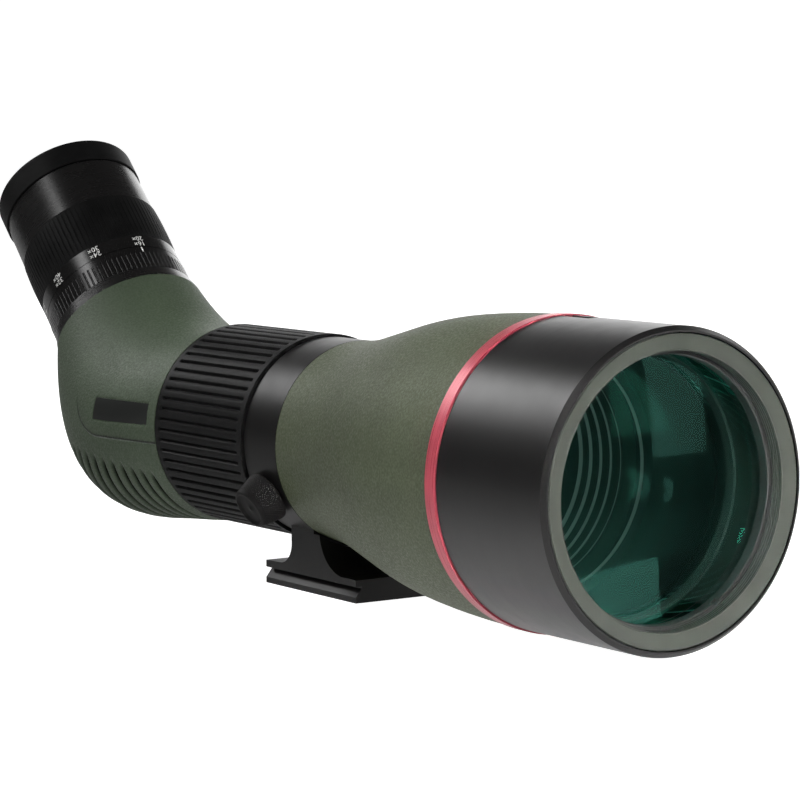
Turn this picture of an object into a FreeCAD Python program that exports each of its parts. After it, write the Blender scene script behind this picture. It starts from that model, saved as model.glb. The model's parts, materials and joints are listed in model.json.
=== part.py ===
import FreeCAD, Part
import math
import os

import Sketcher

# Angled spotting scope with an 85 mm objective, on a rotating tripod collar.
# Millimetres.  +X is the way the objective looks, +Y is left, +Z is up.  The origin is the mouth
# of the tripod thread in the middle of the foot's base, so the foot stands on Z = 0.
#
# Two local frames carry the turned parts.  "barrel" has its X axis along the optical axis of the
# objective, with stations measured from above the tripod thread.  "eyepiece" has its X axis along
# the eyepiece, 45 degrees up and back, with stations measured from where the two axes cross.

DIMENSIONS = {
    # optical axes
    "axis_height": 51.0,
    "eyepiece_crossing": -127.6,
    "eyepiece_angle": 45.0,
    "centre": 0.0,
    # clearances
    "running": 0.1,
    "end_gap": 0.2,
    "slip": 0.3,
    "overshoot": 1.0,
    # tripod collar and foot
    "collar_rear": -18.3,
    "collar_front": 2.4,
    "collar_radius": 35.0,
    "collar_edge": 0.8,
    "liner_outer": 32.1,
    "liner_inner": 31.55,
    "foot_half_length": 28.4,
    "foot_half_width": 19.6,
    "dovetail_side": 2.0,
    "dovetail_notch": 4.9,
    "dovetail_top": 5.6,
    "dovetail_depth": 2.3,
    "plate_top": 8.0,
    "stem_rear": -11.8,
    "stem_front": 6.0,
    "stem_top": 24.0,
    "rear_hollow_radius": 7.6,
    "rear_hollow_start": -19.4,
    "rear_hollow_end": 17.0,
    "front_hollow_radius": 15.0,
    "front_hollow_start": 23.0,
    "front_hollow_end": 20.5,
    "armour_relief": 36.2,
    "insert_radius": 5.0,
    "insert_length": 9.0,
    "thread_radius": 2.6,
    "thread_runout": 11.0,
    # clamp knob, along its own axis from the optical axis outwards
    "knob_station": -8.0,
    "knob_droop": 29.1,
    "knob_base": 35.6,
    "knob_end": 44.8,
    "knob_base_radius": 9.4,
    "knob_end_radius": 7.25,
    "knob_edge": 0.7,
    "knob_dish": 5.6,
    "knob_dish_depth": 0.8,
    "knob_flute_radius": 0.55,
    "knob_flute_count": 36,
    "stud_radius": 2.4,
    "stud_hole_radius": 2.5,
    "stud_end": 42.0,
    "pad_inner": 31.52,
    "pad_outer": 33.4,
    "pad_radius": 2.35,
    # main barrel casting and its rubber armour
    "barrel_rear": -77.6,
    "neck_radius": 31.5,
    "neck_bore": 29.0,
    "neck_bore_front": -5.0,
    "flange_thickness": 5.0,
    "flange_bore": 23.0,
    "flare_start": 2.7,
    "flare_one": 28.0,
    "flare_two": 51.0,
    "flare_three": 76.0,
    "armour_front": 113.2,
    "barrel_front": 118.0,
    "flare_start_radius": 35.0,
    "flare_one_radius": 38.4,
    "flare_two_radius": 43.9,
    "flare_three_radius": 48.1,
    "armour_front_radius": 50.1,
    "flare_hollow": 127.0,
    "flare_crown": 186.0,
    "flare_shoulder": 415.0,
    "armour_thickness": 2.5,
    "casting_thickness": 2.2,
    "cell_seat_rear": 106.0,
    "cell_seat_radius": 45.3,
    "trim_ring_radius": 50.5,
    "slot_half_width": 1.6,
    "slot_rear": -59.2,
    "slot_front": -37.2,
    # collar retaining ring
    "retainer_rear": -21.2,
    "retainer_front": -18.9,
    "retainer_outer": 33.6,
    # sliding sunshade
    "hood_rear": 118.2,
    "hood_front": 171.0,
    "hood_radius": 50.0,
    "hood_bore": 48.1,
    "hood_lip_bore": 47.75,
    "hood_lip_length": 2.8,
    "hood_nose": 1.4,
    "hood_nose_radius": 48.7,
    "hood_rear_edge": 0.4,
    "sight_groove_width": 2.2,
    "sight_groove_floor": 49.2,
    "sight_groove_rear": 132.0,
    # objective cell, bezel and glass
    "cell_rear": 106.2,
    "cell_stop_bore": 39.4,
    "cell_stop_front": 107.7,
    "cell_radius": 47.6,
    "cell_bore": 43.3,
    "cell_shoulder": 141.5,
    "cell_shoulder_rear": 138.5,
    "cell_shoulder_bore": 40.8,
    "cell_glass_bore": 41.9,
    "cell_mouth": 166.8,
    "cell_mouth_bore": 44.5,
    "cell_front": 168.5,
    "band_rear": 156.2,
    "band_front": 162.0,
    "band_seat": 47.0,
    "band_radius": 48.0,
    "bezel_radius": 47.7,
    "bezel_tip": 172.4,
    "bezel_mouth": 171.2,
    "bezel_bore": 42.45,
    "ring_front": 166.6,
    "ring_rear": 162.8,
    "ring_bore": 41.0,
    "spanner_notch": 2.4,
    "spanner_notch_depth": 1.6,
    "spanner_notch_roll": -60.0,
    "glass_radius": 41.85,
    "front_lens_edge": 162.5,
    "front_lens_back": 158.6,
    "front_lens_nose": 166.4,
    "front_lens_tail": 155.4,
    "middle_lens_edge": 158.2,
    "middle_lens_nose": 155.0,
    "middle_lens_back": 150.6,
    "spacer_front": 150.6,
    "spacer_bore": 40.8,
    "rear_lens_edge": 146.6,
    "rear_lens_nose": 148.8,
    "rear_lens_back": 141.5,
    "rear_lens_tail": 142.9,
    "baffle_thickness": 0.8,
    "baffle_first": 97.0,
    "baffle_pitch": 5.2,
    "baffle_first_bore": 38.4,
    "baffle_step": 0.22,
    "baffle_count": 5,
    # pins and slots that drive the focusing carriage and both zoom groups
    "drive_pin_count": 3,
    # focusing ring and carriage
    "focus_rear": -77.3,
    "focus_front": -18.6,
    "focus_radius": 36.0,
    "focus_grip_bore": 33.9,
    "focus_rim": 2.2,
    "focus_groove_depth": 0.95,
    "focus_groove_half_width": 0.5,
    "focus_groove_count": 60,
    "focus_sleeve_bore": 31.6,
    "focus_sleeve_front": -21.6,
    "focus_relief": 32.7,
    "focus_relief_rear": -60.5,
    "focus_relief_front": -36.0,
    "carriage_rear": -55.5,
    "carriage_front": -41.0,
    "carriage_radius": 28.95,
    "carriage_bore": 24.0,
    "carriage_seat": -52.0,
    "carriage_glass": 26.5,
    "focus_lens_front": -47.2,
    "focus_lens_nose": -48.6,
    "focus_lens_tail": -50.6,
    "focus_pin_station": -48.2,
    "focus_pin_radius": 1.5,
    "focus_pin_tip": 32.4,
    # prism housing, as sections that fan round a pivot above the bend
    "pivot_station": -77.6,
    "pivot_height": 110.8,
    "rear_armour_wall": 2.6,
    "rear_casting_wall": 2.4,
    "rib_start": 3.6,
    "rib_pitch": 2.4,
    "rib_count": 11,
    "rib_width": 1.7,
    "rib_depth": 1.3,
    "rib_drop": 13.0,
    "seam_height": -5.5,
    "seam_rear": -112.0,
    "seam_bend": 17.0,
    "seam_width": 0.6,
    "badge_front": -82.5,
    "badge_rear": -115.0,
    "badge_low": 0.6,
    "badge_high": 8.4,
    "skin_cut_depth": 0.6,
    # prism and cage
    "prism_reach": 26.0,
    "prism_side": 47.0,
    "prism_width": 34.0,
    "cage_width": 37.2,
    "cage_wall": 1.6,
    "cage_opening": 4.7,
    "cage_foot": -82.8,
    "cage_foot_low": -13.0,
    "cage_foot_high": 12.0,
    "clamp_half_length": 4.5,
    "clamp_thickness": 0.8,
    "clamp_leg": 11.0,
    "small_screw_head": 2.2,
    "small_screw_head_height": 1.2,
    "small_screw_shank": 1.1,
    "small_screw_drop": 7.5,
    "hollow_end_angle": 2.6,
    "flange_screw_circle": 26.2,
    "flange_screw_shank": 1.5,
    "flange_screw_head": 2.6,
    "flange_screw_head_height": 2.2,
    "flange_screw_length": 9.5,
    "flange_screw_count": 4,
    # eyepiece, fixed parts
    "seat_station": 43.0,
    "seat_radius": 29.9,
    "base_ring_end": 48.0,
    "base_ring_radius": 28.7,
    "base_ring_bore": 25.0,
    "tube_start": 33.0,
    "tube_end": 104.0,
    "tube_radius": 25.0,
    "tube_bore": 23.0,
    "index_start": 56.2,
    "index_end": 58.9,
    "index_radius": 28.0,
    "union_start": 48.2,
    "union_end": 56.0,
    "union_radius": 28.3,
    "union_bore": 25.1,
    "union_notch_count": 90,
    "union_notch_radius": 0.45,
    # zoom ring
    "scale_start": 59.1,
    "scale_end": 64.8,
    "scale_radius": 28.05,
    "grip_end": 86.2,
    "grip_radius": 28.0,
    "grip_crown": 180.0,
    "grip_groove_count": 90,
    "grip_groove_radius": 0.35,
    "zoom_tube_bore": 25.1,
    "zoom_tube_radius": 27.0,
    "zoom_relief": 26.0,
    "zoom_relief_start": 61.0,
    "zoom_relief_end": 85.0,
    "zoom_slot_half_width": 1.3,
    "zoom_pin_radius": 1.2,
    "zoom_pin_tip": 25.8,
    "zoom_cell_radius": 22.95,
    "zoom_glass_radius": 20.5,
    "zoom_cell_bore": 18.5,
    "zoom_front_start": 60.5,
    "zoom_front_end": 66.5,
    "zoom_front_pin": 63.5,
    "zoom_front_travel": 5.0,
    "zoom_rear_start": 79.0,
    "zoom_rear_end": 85.0,
    "zoom_rear_pin": 82.5,
    "zoom_rear_travel": 6.0,
    "zoom_glass_seat": 1.5,
    "zoom_glass_edge": 3.0,
    "zoom_glass_bulge": 1.3,
    "slot_end": 1.5,
    # eye end
    "field_cell_end": 40.0,
    "field_glass_start": 35.0,
    "field_glass_end": 38.0,
    "field_glass_nose": 39.6,
    "field_stop_rear": 44.0,
    "field_stop_front": 44.8,
    "field_stop_bore": 12.0,
    "eye_cell_start": 92.0,
    "eye_cell_end": 105.2,
    "eye_cell_flange": 24.6,
    "eye_cell_bore": 15.5,
    "eye_glass_radius": 17.0,
    "eye_glass_start": 97.0,
    "eye_glass_end": 101.5,
    "eye_glass_nose": 103.4,
    "eye_glass_tail": 95.6,
    "seal_start": 45.0,
    "seal_end": 46.4,
    "seal_floor": 24.1,
    "cell_seal_rear": 110.0,
    "cell_seal_front": 111.6,
    "cell_seal_floor": 44.4,
    # eyecup
    "cup_start": 86.5,
    "cup_joint": 106.0,
    "cup_end": 116.5,
    "cup_radius": 27.7,
    "cup_waist": 27.4,
    "cup_bore": 26.0,
    "cup_land": 105.6,
    "guide_radius": 25.9,
    "guide_start": 88.0,
    "guide_end": 102.0,
    "lip_radius": 28.0,
    "lip_edge": 115.2,
    "lip_round": 1.3,
    "lip_inner": 25.6,
    "lip_throat": 22.0,
    "lip_slope": 108.0,
}

# Sections of the prism housing: angle from the focusing ring round to the eyepiece seat, distance
# of the section's centre from the pivot, half height in the fan's plane, and half width across.
HOUSING_SECTIONS = {
    "rear": (0.0, 110.8, 36.0, 36.0),
    "lower": (11.25, 115.6, 36.8, 39.2),
    "knee": (22.5, 121.4, 39.5, 40.8),
    "upper": (33.75, 119.5, 35.7, 36.9),
    "seat": (45.0, 113.7, 29.9, 29.9),
}

DOC = FreeCAD.newDocument("SpottingScope")
PARTS = []


def fill_sheet():
    """Write every driving dimension to the spreadsheet, one aliased row each."""
    sheet = DOC.addObject("Spreadsheet::Sheet", "Dims")
    names = dict(DIMENSIONS)
    for section, sizes in HOUSING_SECTIONS.items():
        for word, size in zip(("angle", "reach", "height", "width"), sizes):
            names[section + "_" + word] = size
    for row, (name, size) in enumerate(names.items(), start=1):
        sheet.set("A%d" % row, name)
        sheet.set("B%d" % row, str(size))
        sheet.setAlias("B%d" % row, name)
    DOC.recompute()
    return sheet


SHEET = fill_sheet()


def amount(formula):
    """Number that a sum of aliases, such as "hood_front - hood_nose", stands for."""
    total = 0.0
    sign = 1.0
    for word in formula.split():
        if word == "-":
            sign = -1.0
        elif word != "+":
            total += sign * getattr(SHEET, word)
            sign = 1.0
    return total


def bound(formula):
    """The same sum as an expression on the spreadsheet."""
    return " ".join(word if word in "+-" else "Dims." + word for word in formula.split())


def columns_rotation(x_axis, y_axis, z_axis):
    """Rotation whose local axes point along the three given vectors."""
    return FreeCAD.Rotation(x_axis, y_axis, z_axis, "XYZ")


def tilt(formula):
    """Sine and cosine of an angle in degrees kept in the spreadsheet."""
    angle = math.radians(amount(formula))
    return math.sin(angle), math.cos(angle)


def seat_of(name):
    """Placement of a local frame, and the expressions that bind its base to the spreadsheet."""
    if name == "barrel":
        base = ("centre", "axis_height")
        rotation = FreeCAD.Rotation()
    elif name == "eyepiece":
        base = ("eyepiece_crossing", "axis_height")
        rotation = FreeCAD.Rotation(FreeCAD.Vector(0, 1, 0), amount("eyepiece_angle") - 180)
    elif name == "knob":
        base = ("knob_station", "axis_height")
        sine, cosine = tilt("knob_droop")
        rotation = columns_rotation(
            FreeCAD.Vector(0, -cosine, -sine),
            FreeCAD.Vector(1, 0, 0),
            FreeCAD.Vector(0, -sine, cosine),
        )
    else:
        base = ("centre", "centre")
        rotation = FreeCAD.Rotation()
    placement = FreeCAD.Placement(FreeCAD.Vector(amount(base[0]), 0, amount(base[1])), rotation)
    return placement, base


def place(item, seat):
    """Put an object in a local frame, bound to the spreadsheet."""
    placement, base = seat_of(seat)
    item.Placement = placement
    item.setExpression("Placement.Base.x", bound(base[0]))
    item.setExpression("Placement.Base.z", bound(base[1]))


def new_body(label, seat):
    """Empty PartDesign body that becomes one exported sub-part."""
    body = DOC.addObject("PartDesign::Body", label)
    body.Label = label
    place(body, seat)
    PARTS.append(body)
    return body


def origin_plane(body, role):
    """One of the body's own origin planes."""
    for feature in body.Origin.OriginFeatures:
        if feature.Role == role:
            return feature
    raise ValueError(role)


def new_sketch(body, name, role):
    """Sketch on one of the body's own origin planes."""
    sketch = body.newObject("Sketcher::SketchObject", name)
    sketch.AttachmentSupport = [(origin_plane(body, role), "")]
    sketch.MapMode = "FlatFace"
    return sketch


def arc_between(start, end, centre):
    """Short arc from start to end, and the numbers of its start and end vertices."""
    radius = (start - centre).Length
    turn = (start - centre).cross(end - centre).z
    first, last = (start, end) if turn > 0 else (end, start)
    angles = [math.atan2(point.y - centre.y, point.x - centre.x) for point in (first, last)]
    circle = Part.Circle(centre, FreeCAD.Vector(0, 0, 1), radius)
    ends = (1, 2) if turn > 0 else (2, 1)
    return Part.ArcOfCircle(circle, angles[0], angles[1]), ends


def arc_centre(start, end, bend):
    """Centre of an arc given by its radius and side, or by lying on the turning axis."""
    middle = (start + end) * 0.5
    chord = end - start
    if bend == "on axis":
        station = middle.x + middle.y * chord.y / chord.x
        return FreeCAD.Vector(station, 0, 0)
    radius_name, side = bend
    normal = FreeCAD.Vector(-chord.y, chord.x, 0).normalize()
    height = math.sqrt(amount(radius_name) ** 2 - (chord.Length / 2) ** 2)
    return middle + normal * (height if side == "left" else -height)


def bind(sketch, constraint, formula):
    """Add a dimension to a sketch and bind it to the spreadsheet."""
    index = sketch.addConstraint(constraint)
    name = "size_%d" % index
    sketch.renameConstraint(index, name)
    sketch.setExpression("Constraints." + name, bound(formula))


def draw_outline(sketch, outline):
    """Closed outline of lines and arcs, each corner bound to the spreadsheet.

    A corner is (x, y) in aliases.  A third item bends the side that leads to it: a pair of a
    radius and the side its centre is on, or "on axis" for a lens surface.
    """
    corners = [FreeCAD.Vector(amount(corner[0]), amount(corner[1]), 0) for corner in outline]
    ends = []
    for number, corner in enumerate(outline):
        start = corners[number - 1]
        end = corners[number]
        if len(corner) == 3:
            curve, vertices = arc_between(start, end, arc_centre(start, end, corner[2]))
        else:
            curve, vertices = Part.LineSegment(start, end), (1, 2)
        sketch.addGeometry(curve, False)
        ends.append(vertices)
    for number, corner in enumerate(outline):
        following = (number + 1) % len(outline)
        here = (number, ends[number][1])
        sketch.addConstraint(Sketcher.Constraint("Coincident", *here, following, ends[following][0]))
        horizontal = Sketcher.Constraint("DistanceX", -1, 1, *here, corners[number].x)
        bind(sketch, horizontal, corner[0])
        if corner[1] == "centre":
            sketch.addConstraint(Sketcher.Constraint("PointOnObject", *here, -1))
        else:
            vertical = Sketcher.Constraint("DistanceY", -1, 1, *here, corners[number].y)
            bind(sketch, vertical, corner[1])
        if len(corner) == 3 and corner[2] == "on axis":
            sketch.addConstraint(Sketcher.Constraint("PointOnObject", number, 3, -1))
        elif len(corner) == 3:
            size = Sketcher.Constraint("Radius", number, amount(corner[2][0]))
            bind(sketch, size, corner[2][0])


def turn_outline(body, outline):
    """Revolve an outline of (station, radius) corners about the body's X axis."""
    sketch = new_sketch(body, body.Label + "_outline", "XZ_Plane")
    draw_outline(sketch, outline)
    feature = body.newObject("PartDesign::Revolution", body.Label + "_turned")
    feature.Profile = sketch
    feature.ReferenceAxis = (sketch, ["H_Axis"])
    feature.Angle = 360


def turned(label, outline, seat="barrel"):
    """Sub-part turned from one outline of (station, radius) corners."""
    body = new_body(label, seat)
    turn_outline(body, outline)
    return body


def ring(label, rear, front, bore, radius, seat="barrel"):
    """Plain ring from its two stations and two radii."""
    return turned(label, [(rear, bore), (front, bore), (front, radius), (rear, radius)], seat)


def lens(label, nose, edge, back, tail, radius, seat="barrel"):
    """Lens from its front vertex, edge, back edge and back vertex."""
    tail_bend = [(tail, "centre", "on axis")] if tail != back else [(tail, "centre")]
    nose_bend = [(edge, radius, "on axis")] if nose != edge else [(edge, radius)]
    return turned(label, [(nose, "centre")] + nose_bend + [(back, radius)] + tail_bend, seat)


def cut_pocket(body, sketch, name, symmetric=True):
    """Pocket right through the body from a sketch on one of its origin planes."""
    DOC.recompute()
    before = body.Shape.Volume
    pocket = body.newObject("PartDesign::Pocket", name)
    pocket.Profile = sketch
    pocket.Type = "ThroughAll"
    pocket.Midplane = symmetric
    DOC.recompute()
    if not symmetric and abs(body.Shape.Volume - before) < 1e-6:
        pocket.Reversed = True
        DOC.recompute()
    if body.Shape.Volume >= before - 1e-6:
        raise ValueError(name + " cuts nothing")
    return pocket


def repeat_round(body, feature, count):
    """Repeat a feature evenly round the body's X axis."""
    pattern = body.newObject("PartDesign::PolarPattern", feature.Name + "_pattern")
    pattern.Originals = [feature]
    pattern.Axis = (origin_plane(body, "X_Axis"), [""])
    pattern.Angle = 360
    pattern.Occurrences = count
    body.Tip = pattern
    return pattern


def draw_box(sketch, low_x, high_x, low_y, high_y):
    """Rectangle bound to the spreadsheet."""
    draw_outline(sketch, [(low_x, low_y), (high_x, low_y), (high_x, high_y), (low_x, high_y)])


def draw_circle(sketch, x_name, y_name, radius_name):
    """Circle bound to the spreadsheet."""
    middle = FreeCAD.Vector(amount(x_name), amount(y_name), 0)
    circle = Part.Circle(middle, FreeCAD.Vector(0, 0, 1), amount(radius_name))
    number = sketch.addGeometry(circle, False)
    bind(sketch, Sketcher.Constraint("DistanceX", -1, 1, number, 3, middle.x), x_name)
    bind(sketch, Sketcher.Constraint("DistanceY", -1, 1, number, 3, middle.y), y_name)
    bind(sketch, Sketcher.Constraint("Radius", number, amount(radius_name)), radius_name)


def flute_rim(body, rim_radius, flute_radius, count):
    """Round notches along the whole rim of a turned part, evenly spaced."""
    sketch = new_sketch(body, body.Label + "_flute", "YZ_Plane")
    draw_circle(sketch, "centre", rim_radius, flute_radius)
    pocket = cut_pocket(body, sketch, body.Label + "_flute_cut")
    repeat_round(body, pocket, int(amount(count)))


def axial_slots(body, rear, front, half_width):
    """Lengthwise slots through the wall of a tube, for the drive pins of a sliding carriage."""
    sketch = new_sketch(body, "slot_outline", "XY_Plane")
    draw_box(sketch, rear, front, "- " + half_width, half_width)
    slot = cut_pocket(body, sketch, "slot_cut", symmetric=False)
    repeat_round(body, slot, int(amount("drive_pin_count")))


def radial_pins(label, station, radius, root, tip, seat):
    """Round drive pins that stand radially in a carriage, as a group of separate solids."""
    group = DOC.addObject("Part::Compound", label)
    pins = []
    count = int(amount("drive_pin_count"))
    for number in range(count):
        pin = DOC.addObject("Part::Cylinder", "%s_%d" % (label, number))
        pin.setExpression("Radius", bound(radius))
        pin.setExpression("Height", bound(tip + " - " + root))
        spin = FreeCAD.Rotation(FreeCAD.Vector(1, 0, 0), 360.0 * (number + 0.5) / count)
        outward = spin.multVec(FreeCAD.Vector(0, 0, amount(root)))
        pin.Placement = FreeCAD.Placement(FreeCAD.Vector(amount(station), 0, 0) + outward, spin)
        pins.append(pin)
    group.Links = pins
    group.Label = label
    place(group, seat)
    PARTS.append(group)


# ---------------------------------------------------------------- tripod collar, foot and clamp

def make_collar():
    """One casting: clamp band, stem and quick-release foot with a dovetail along each side."""
    body = new_body("collar_and_foot", "ground")
    sketch = new_sketch(body, "foot_side", "XZ_Plane")
    draw_outline(sketch, [
        ("- foot_half_length", "centre"),
        ("foot_half_length", "centre"),
        ("foot_half_length", "plate_top - end_gap"),
        ("front_hollow_start", "plate_top"),
        ("stem_front", "front_hollow_end", ("front_hollow_radius", "right")),
        ("stem_front", "stem_top"),
        ("stem_rear", "stem_top"),
        ("stem_rear", "rear_hollow_end"),
        ("rear_hollow_start", "plate_top + end_gap", ("rear_hollow_radius", "right")),
        ("- foot_half_length", "plate_top"),
    ])
    pad = body.newObject("PartDesign::Pad", "foot_block")
    pad.Profile = sketch
    pad.Midplane = True
    pad.setExpression("Length", "2 * Dims.foot_half_width")
    cut_dovetail_sides(body)
    cut_armour_relief(body)
    add_band(body)
    cut_clamp_hole(body, "axis_height")
    bore_thread_seat(body)
    return body


def cut_dovetail_sides(body):
    """Notch between the dovetail and the plate above it, along both long sides."""
    for side, sign in (("left", ""), ("right", "- ")):
        sketch = new_sketch(body, "dovetail_" + side, "YZ_Plane")
        outer = sign + "foot_half_width"
        inner = "foot_half_width - dovetail_depth" if sign == "" else "dovetail_depth - foot_half_width"
        wide = outer + (" + slip" if sign == "" else " - slip")
        draw_outline(sketch, [
            (outer, "dovetail_side"),
            (inner, "dovetail_notch"),
            (inner, "dovetail_top"),
            (wide, "dovetail_top"),
            (wide, "dovetail_side"),
        ])
        cut_pocket(body, sketch, "dovetail_cut_" + side)


def barrel_axis_line(sketch):
    """Construction line along the optical axis, inside a sketch that stands on the ground frame."""
    low = FreeCAD.Vector(-amount("foot_half_length"), amount("axis_height"), 0)
    high = FreeCAD.Vector(amount("foot_half_length"), amount("axis_height"), 0)
    number = sketch.addGeometry(Part.LineSegment(low, high), True)
    sketch.addConstraint(Sketcher.Constraint("Horizontal", number))
    for vertex, formula in ((1, "- foot_half_length"), (2, "foot_half_length")):
        start = Sketcher.Constraint("DistanceX", -1, 1, number, vertex, amount(formula))
        bind(sketch, start, formula)
    height = Sketcher.Constraint("DistanceY", -1, 1, number, 1, low.y)
    bind(sketch, height, "axis_height")


def turn_about_barrel(body, name, outline, cut):
    """Revolve an outline drawn in the ground frame about the optical axis."""
    kind = "Groove" if cut else "Revolution"
    sketch = new_sketch(body, name + "_outline", "XZ_Plane")
    draw_outline(sketch, outline)
    barrel_axis_line(sketch)
    DOC.recompute()
    before = body.Shape.Volume
    feature = body.newObject("PartDesign::" + kind, name)
    feature.Profile = sketch
    feature.ReferenceAxis = (sketch, ["Axis0"])
    feature.Angle = 360
    DOC.recompute()
    if abs(body.Shape.Volume - before) < 1e-6:
        raise ValueError(name + " changes nothing")
    return feature


def cut_armour_relief(body):
    """Clear the front of the stem for the armour that turns above it."""
    turn_about_barrel(body, "armour_relief_cut", [
        ("collar_front", "axis_height"),
        ("foot_half_length", "axis_height"),
        ("foot_half_length", "axis_height - armour_relief"),
        ("collar_front", "axis_height - armour_relief"),
    ], cut=True)


def add_band(body):
    """The band round the barrel, bored for its liner."""
    turn_about_barrel(body, "band", [
        ("collar_rear", "axis_height - liner_outer"),
        ("collar_front", "axis_height - liner_outer"),
        ("collar_front", "axis_height - collar_radius"),
        ("collar_rear + collar_edge", "axis_height - collar_radius"),
        ("collar_rear", "axis_height - collar_radius + collar_edge"),
    ], cut=False)
    turn_about_barrel(body, "band_bore", [
        ("collar_rear - end_gap", "axis_height"),
        ("collar_front + slip", "axis_height"),
        ("collar_front + slip", "axis_height - liner_outer"),
        ("collar_rear - end_gap", "axis_height - liner_outer"),
    ], cut=True)


def cut_clamp_hole(body, axis_name):
    """Hole for the clamp's stud and pad, square to the optical axis, out through the band."""
    sketch = new_sketch(body, "clamp_hole_circle", "XY_Plane")
    draw_circle(sketch, "knob_station", "centre", "stud_hole_radius")
    sketch.AttachmentOffset = FreeCAD.Placement(
        FreeCAD.Vector(0, 0, amount(axis_name)),
        FreeCAD.Rotation(FreeCAD.Vector(1, 0, 0), 90 + amount("knob_droop")),
    )
    sketch.setExpression("AttachmentOffset.Base.z", bound(axis_name))
    DOC.recompute()
    before = body.Shape.Volume
    pocket = body.newObject("PartDesign::Pocket", "clamp_hole")
    pocket.Profile = sketch
    pocket.Reversed = True
    pocket.setExpression("Length", bound("collar_radius + slip"))
    DOC.recompute()
    if body.Shape.Volume >= before:
        raise ValueError("clamp_hole cuts nothing")


def bore_thread_seat(body):
    """Blind hole in the base for the tripod thread's insert, and its run-out above."""
    for name, radius, depth in (
        ("insert_seat", "insert_radius", "insert_length"),
        ("thread_end", "thread_radius", "thread_runout"),
    ):
        sketch = new_sketch(body, name + "_circle", "XY_Plane")
        draw_circle(sketch, "centre", "centre", radius)
        DOC.recompute()
        before = body.Shape.Volume
        pocket = body.newObject("PartDesign::Pocket", name)
        pocket.Profile = sketch
        pocket.Reversed = True
        pocket.setExpression("Length", bound(depth))
        DOC.recompute()
        if body.Shape.Volume >= before:
            raise ValueError(name + " cuts nothing")


def make_thread_insert():
    """Steel bush with the tripod thread, pressed into the foot."""
    body = new_body("tripod_thread_insert", "ground")
    sketch = new_sketch(body, "insert_rings", "XY_Plane")
    draw_circle(sketch, "centre", "centre", "insert_radius")
    draw_circle(sketch, "centre", "centre", "thread_radius")
    pad = body.newObject("PartDesign::Pad", "insert_pad")
    pad.Profile = sketch
    pad.setExpression("Length", bound("insert_length"))


def make_collar_liner():
    """Thin bearing liner between the band and the neck, holed for the clamp pad."""
    body = ring("collar_liner", "collar_rear", "collar_front", "liner_inner", "liner_outer")
    cut_clamp_hole(body, "centre")


def make_clamp():
    """Knob, threaded stud and nylon pad that lock the collar on the neck."""
    knob = turned("lock_knob", [
        ("knob_base", "stud_radius"),
        ("stud_end", "stud_radius"),
        ("stud_end", "centre"),
        ("knob_end - knob_dish_depth", "centre"),
        ("knob_end - knob_dish_depth", "knob_dish"),
        ("knob_end", "knob_dish + knob_dish_depth"),
        ("knob_end", "knob_end_radius - knob_edge"),
        ("knob_end - knob_edge", "knob_end_radius"),
        ("knob_base + knob_edge", "knob_base_radius"),
        ("knob_base", "knob_base_radius - knob_edge"),
    ], "knob")
    flute_rim(knob, "knob_base_radius + end_gap", "knob_flute_radius", "knob_flute_count")
    turned("lock_stud", [
        ("pad_outer", "centre"),
        ("stud_end", "centre"),
        ("stud_end", "stud_radius"),
        ("pad_outer", "stud_radius"),
    ], "knob")
    turned("lock_pad", [
        ("pad_inner", "centre"),
        ("pad_outer", "centre"),
        ("pad_outer", "pad_radius"),
        ("pad_inner + running", "pad_radius"),
    ], "knob")


# ---------------------------------------------------------------- main barrel and its armour

def flare(inset):
    """Corners of the flare from the neck to the front, at an inset inside the armour."""
    arcs = {
        "flare_one": ("flare_hollow", "left"),
        "flare_three": ("flare_crown", "right"),
        "armour_front": ("flare_shoulder", "right"),
    }
    corners = []
    for name in ("flare_start", "flare_one", "flare_two", "flare_three", "armour_front"):
        corner = (name, name + "_radius" + inset)
        if name in arcs:
            corner += (arcs[name],)
        corners.append(corner)
    return corners


def make_main_barrel():
    """Cast barrel: neck, flare and the front tube that holds the objective cell."""
    wall = " - armour_thickness - casting_thickness"
    body = turned("main_barrel", [
        ("barrel_rear", "neck_radius"),
        ("flare_start", "neck_radius"),
    ] + flare(" - armour_thickness") + [
        ("barrel_front", "armour_front_radius - armour_thickness"),
        ("barrel_front", "cell_seat_radius"),
        ("cell_seat_rear", "cell_seat_radius"),
        ("flare_three", "flare_three_radius" + wall),
        ("flare_two", "flare_two_radius" + wall),
        ("flare_one", "flare_one_radius" + wall),
        ("flare_start", "flare_start_radius" + wall),
        ("neck_bore_front", "neck_bore"),
        ("barrel_rear + flange_thickness", "neck_bore"),
        ("barrel_rear + flange_thickness", "flange_bore"),
        ("barrel_rear", "flange_bore"),
    ])
    axial_slots(body, "slot_rear", "slot_front", "slot_half_width")
    sketch = new_sketch(body, "flange_hole", "YZ_Plane")
    draw_circle(sketch, "centre", "flange_screw_circle", "flange_screw_shank")
    hole = cut_pocket(body, sketch, "flange_hole_cut")
    repeat_round(body, hole, int(amount("flange_screw_count")))


def make_front_armour():
    """Moulded rubber over the flare."""
    inner = flare(" - armour_thickness")
    backwards = [inner[-1][:2]]
    for corner, previous in zip(inner[-2::-1], inner[:0:-1]):
        step = corner[:2]
        if len(previous) == 3:
            radius, side = previous[2]
            step += ((radius, "left" if side == "right" else "right"),)
        backwards.append(step)
    turned("front_armour", flare("") + backwards)


def make_barrel_rings():
    """Coloured trim ring in front of the armour, and the ring that keeps the collar on the neck."""
    ring("red_trim_ring", "armour_front", "barrel_front",
         "armour_front_radius - armour_thickness", "trim_ring_radius")
    ring("collar_retaining_ring", "retainer_rear", "retainer_front", "neck_radius", "retainer_outer")


# ---------------------------------------------------------------- sunshade and objective

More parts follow.
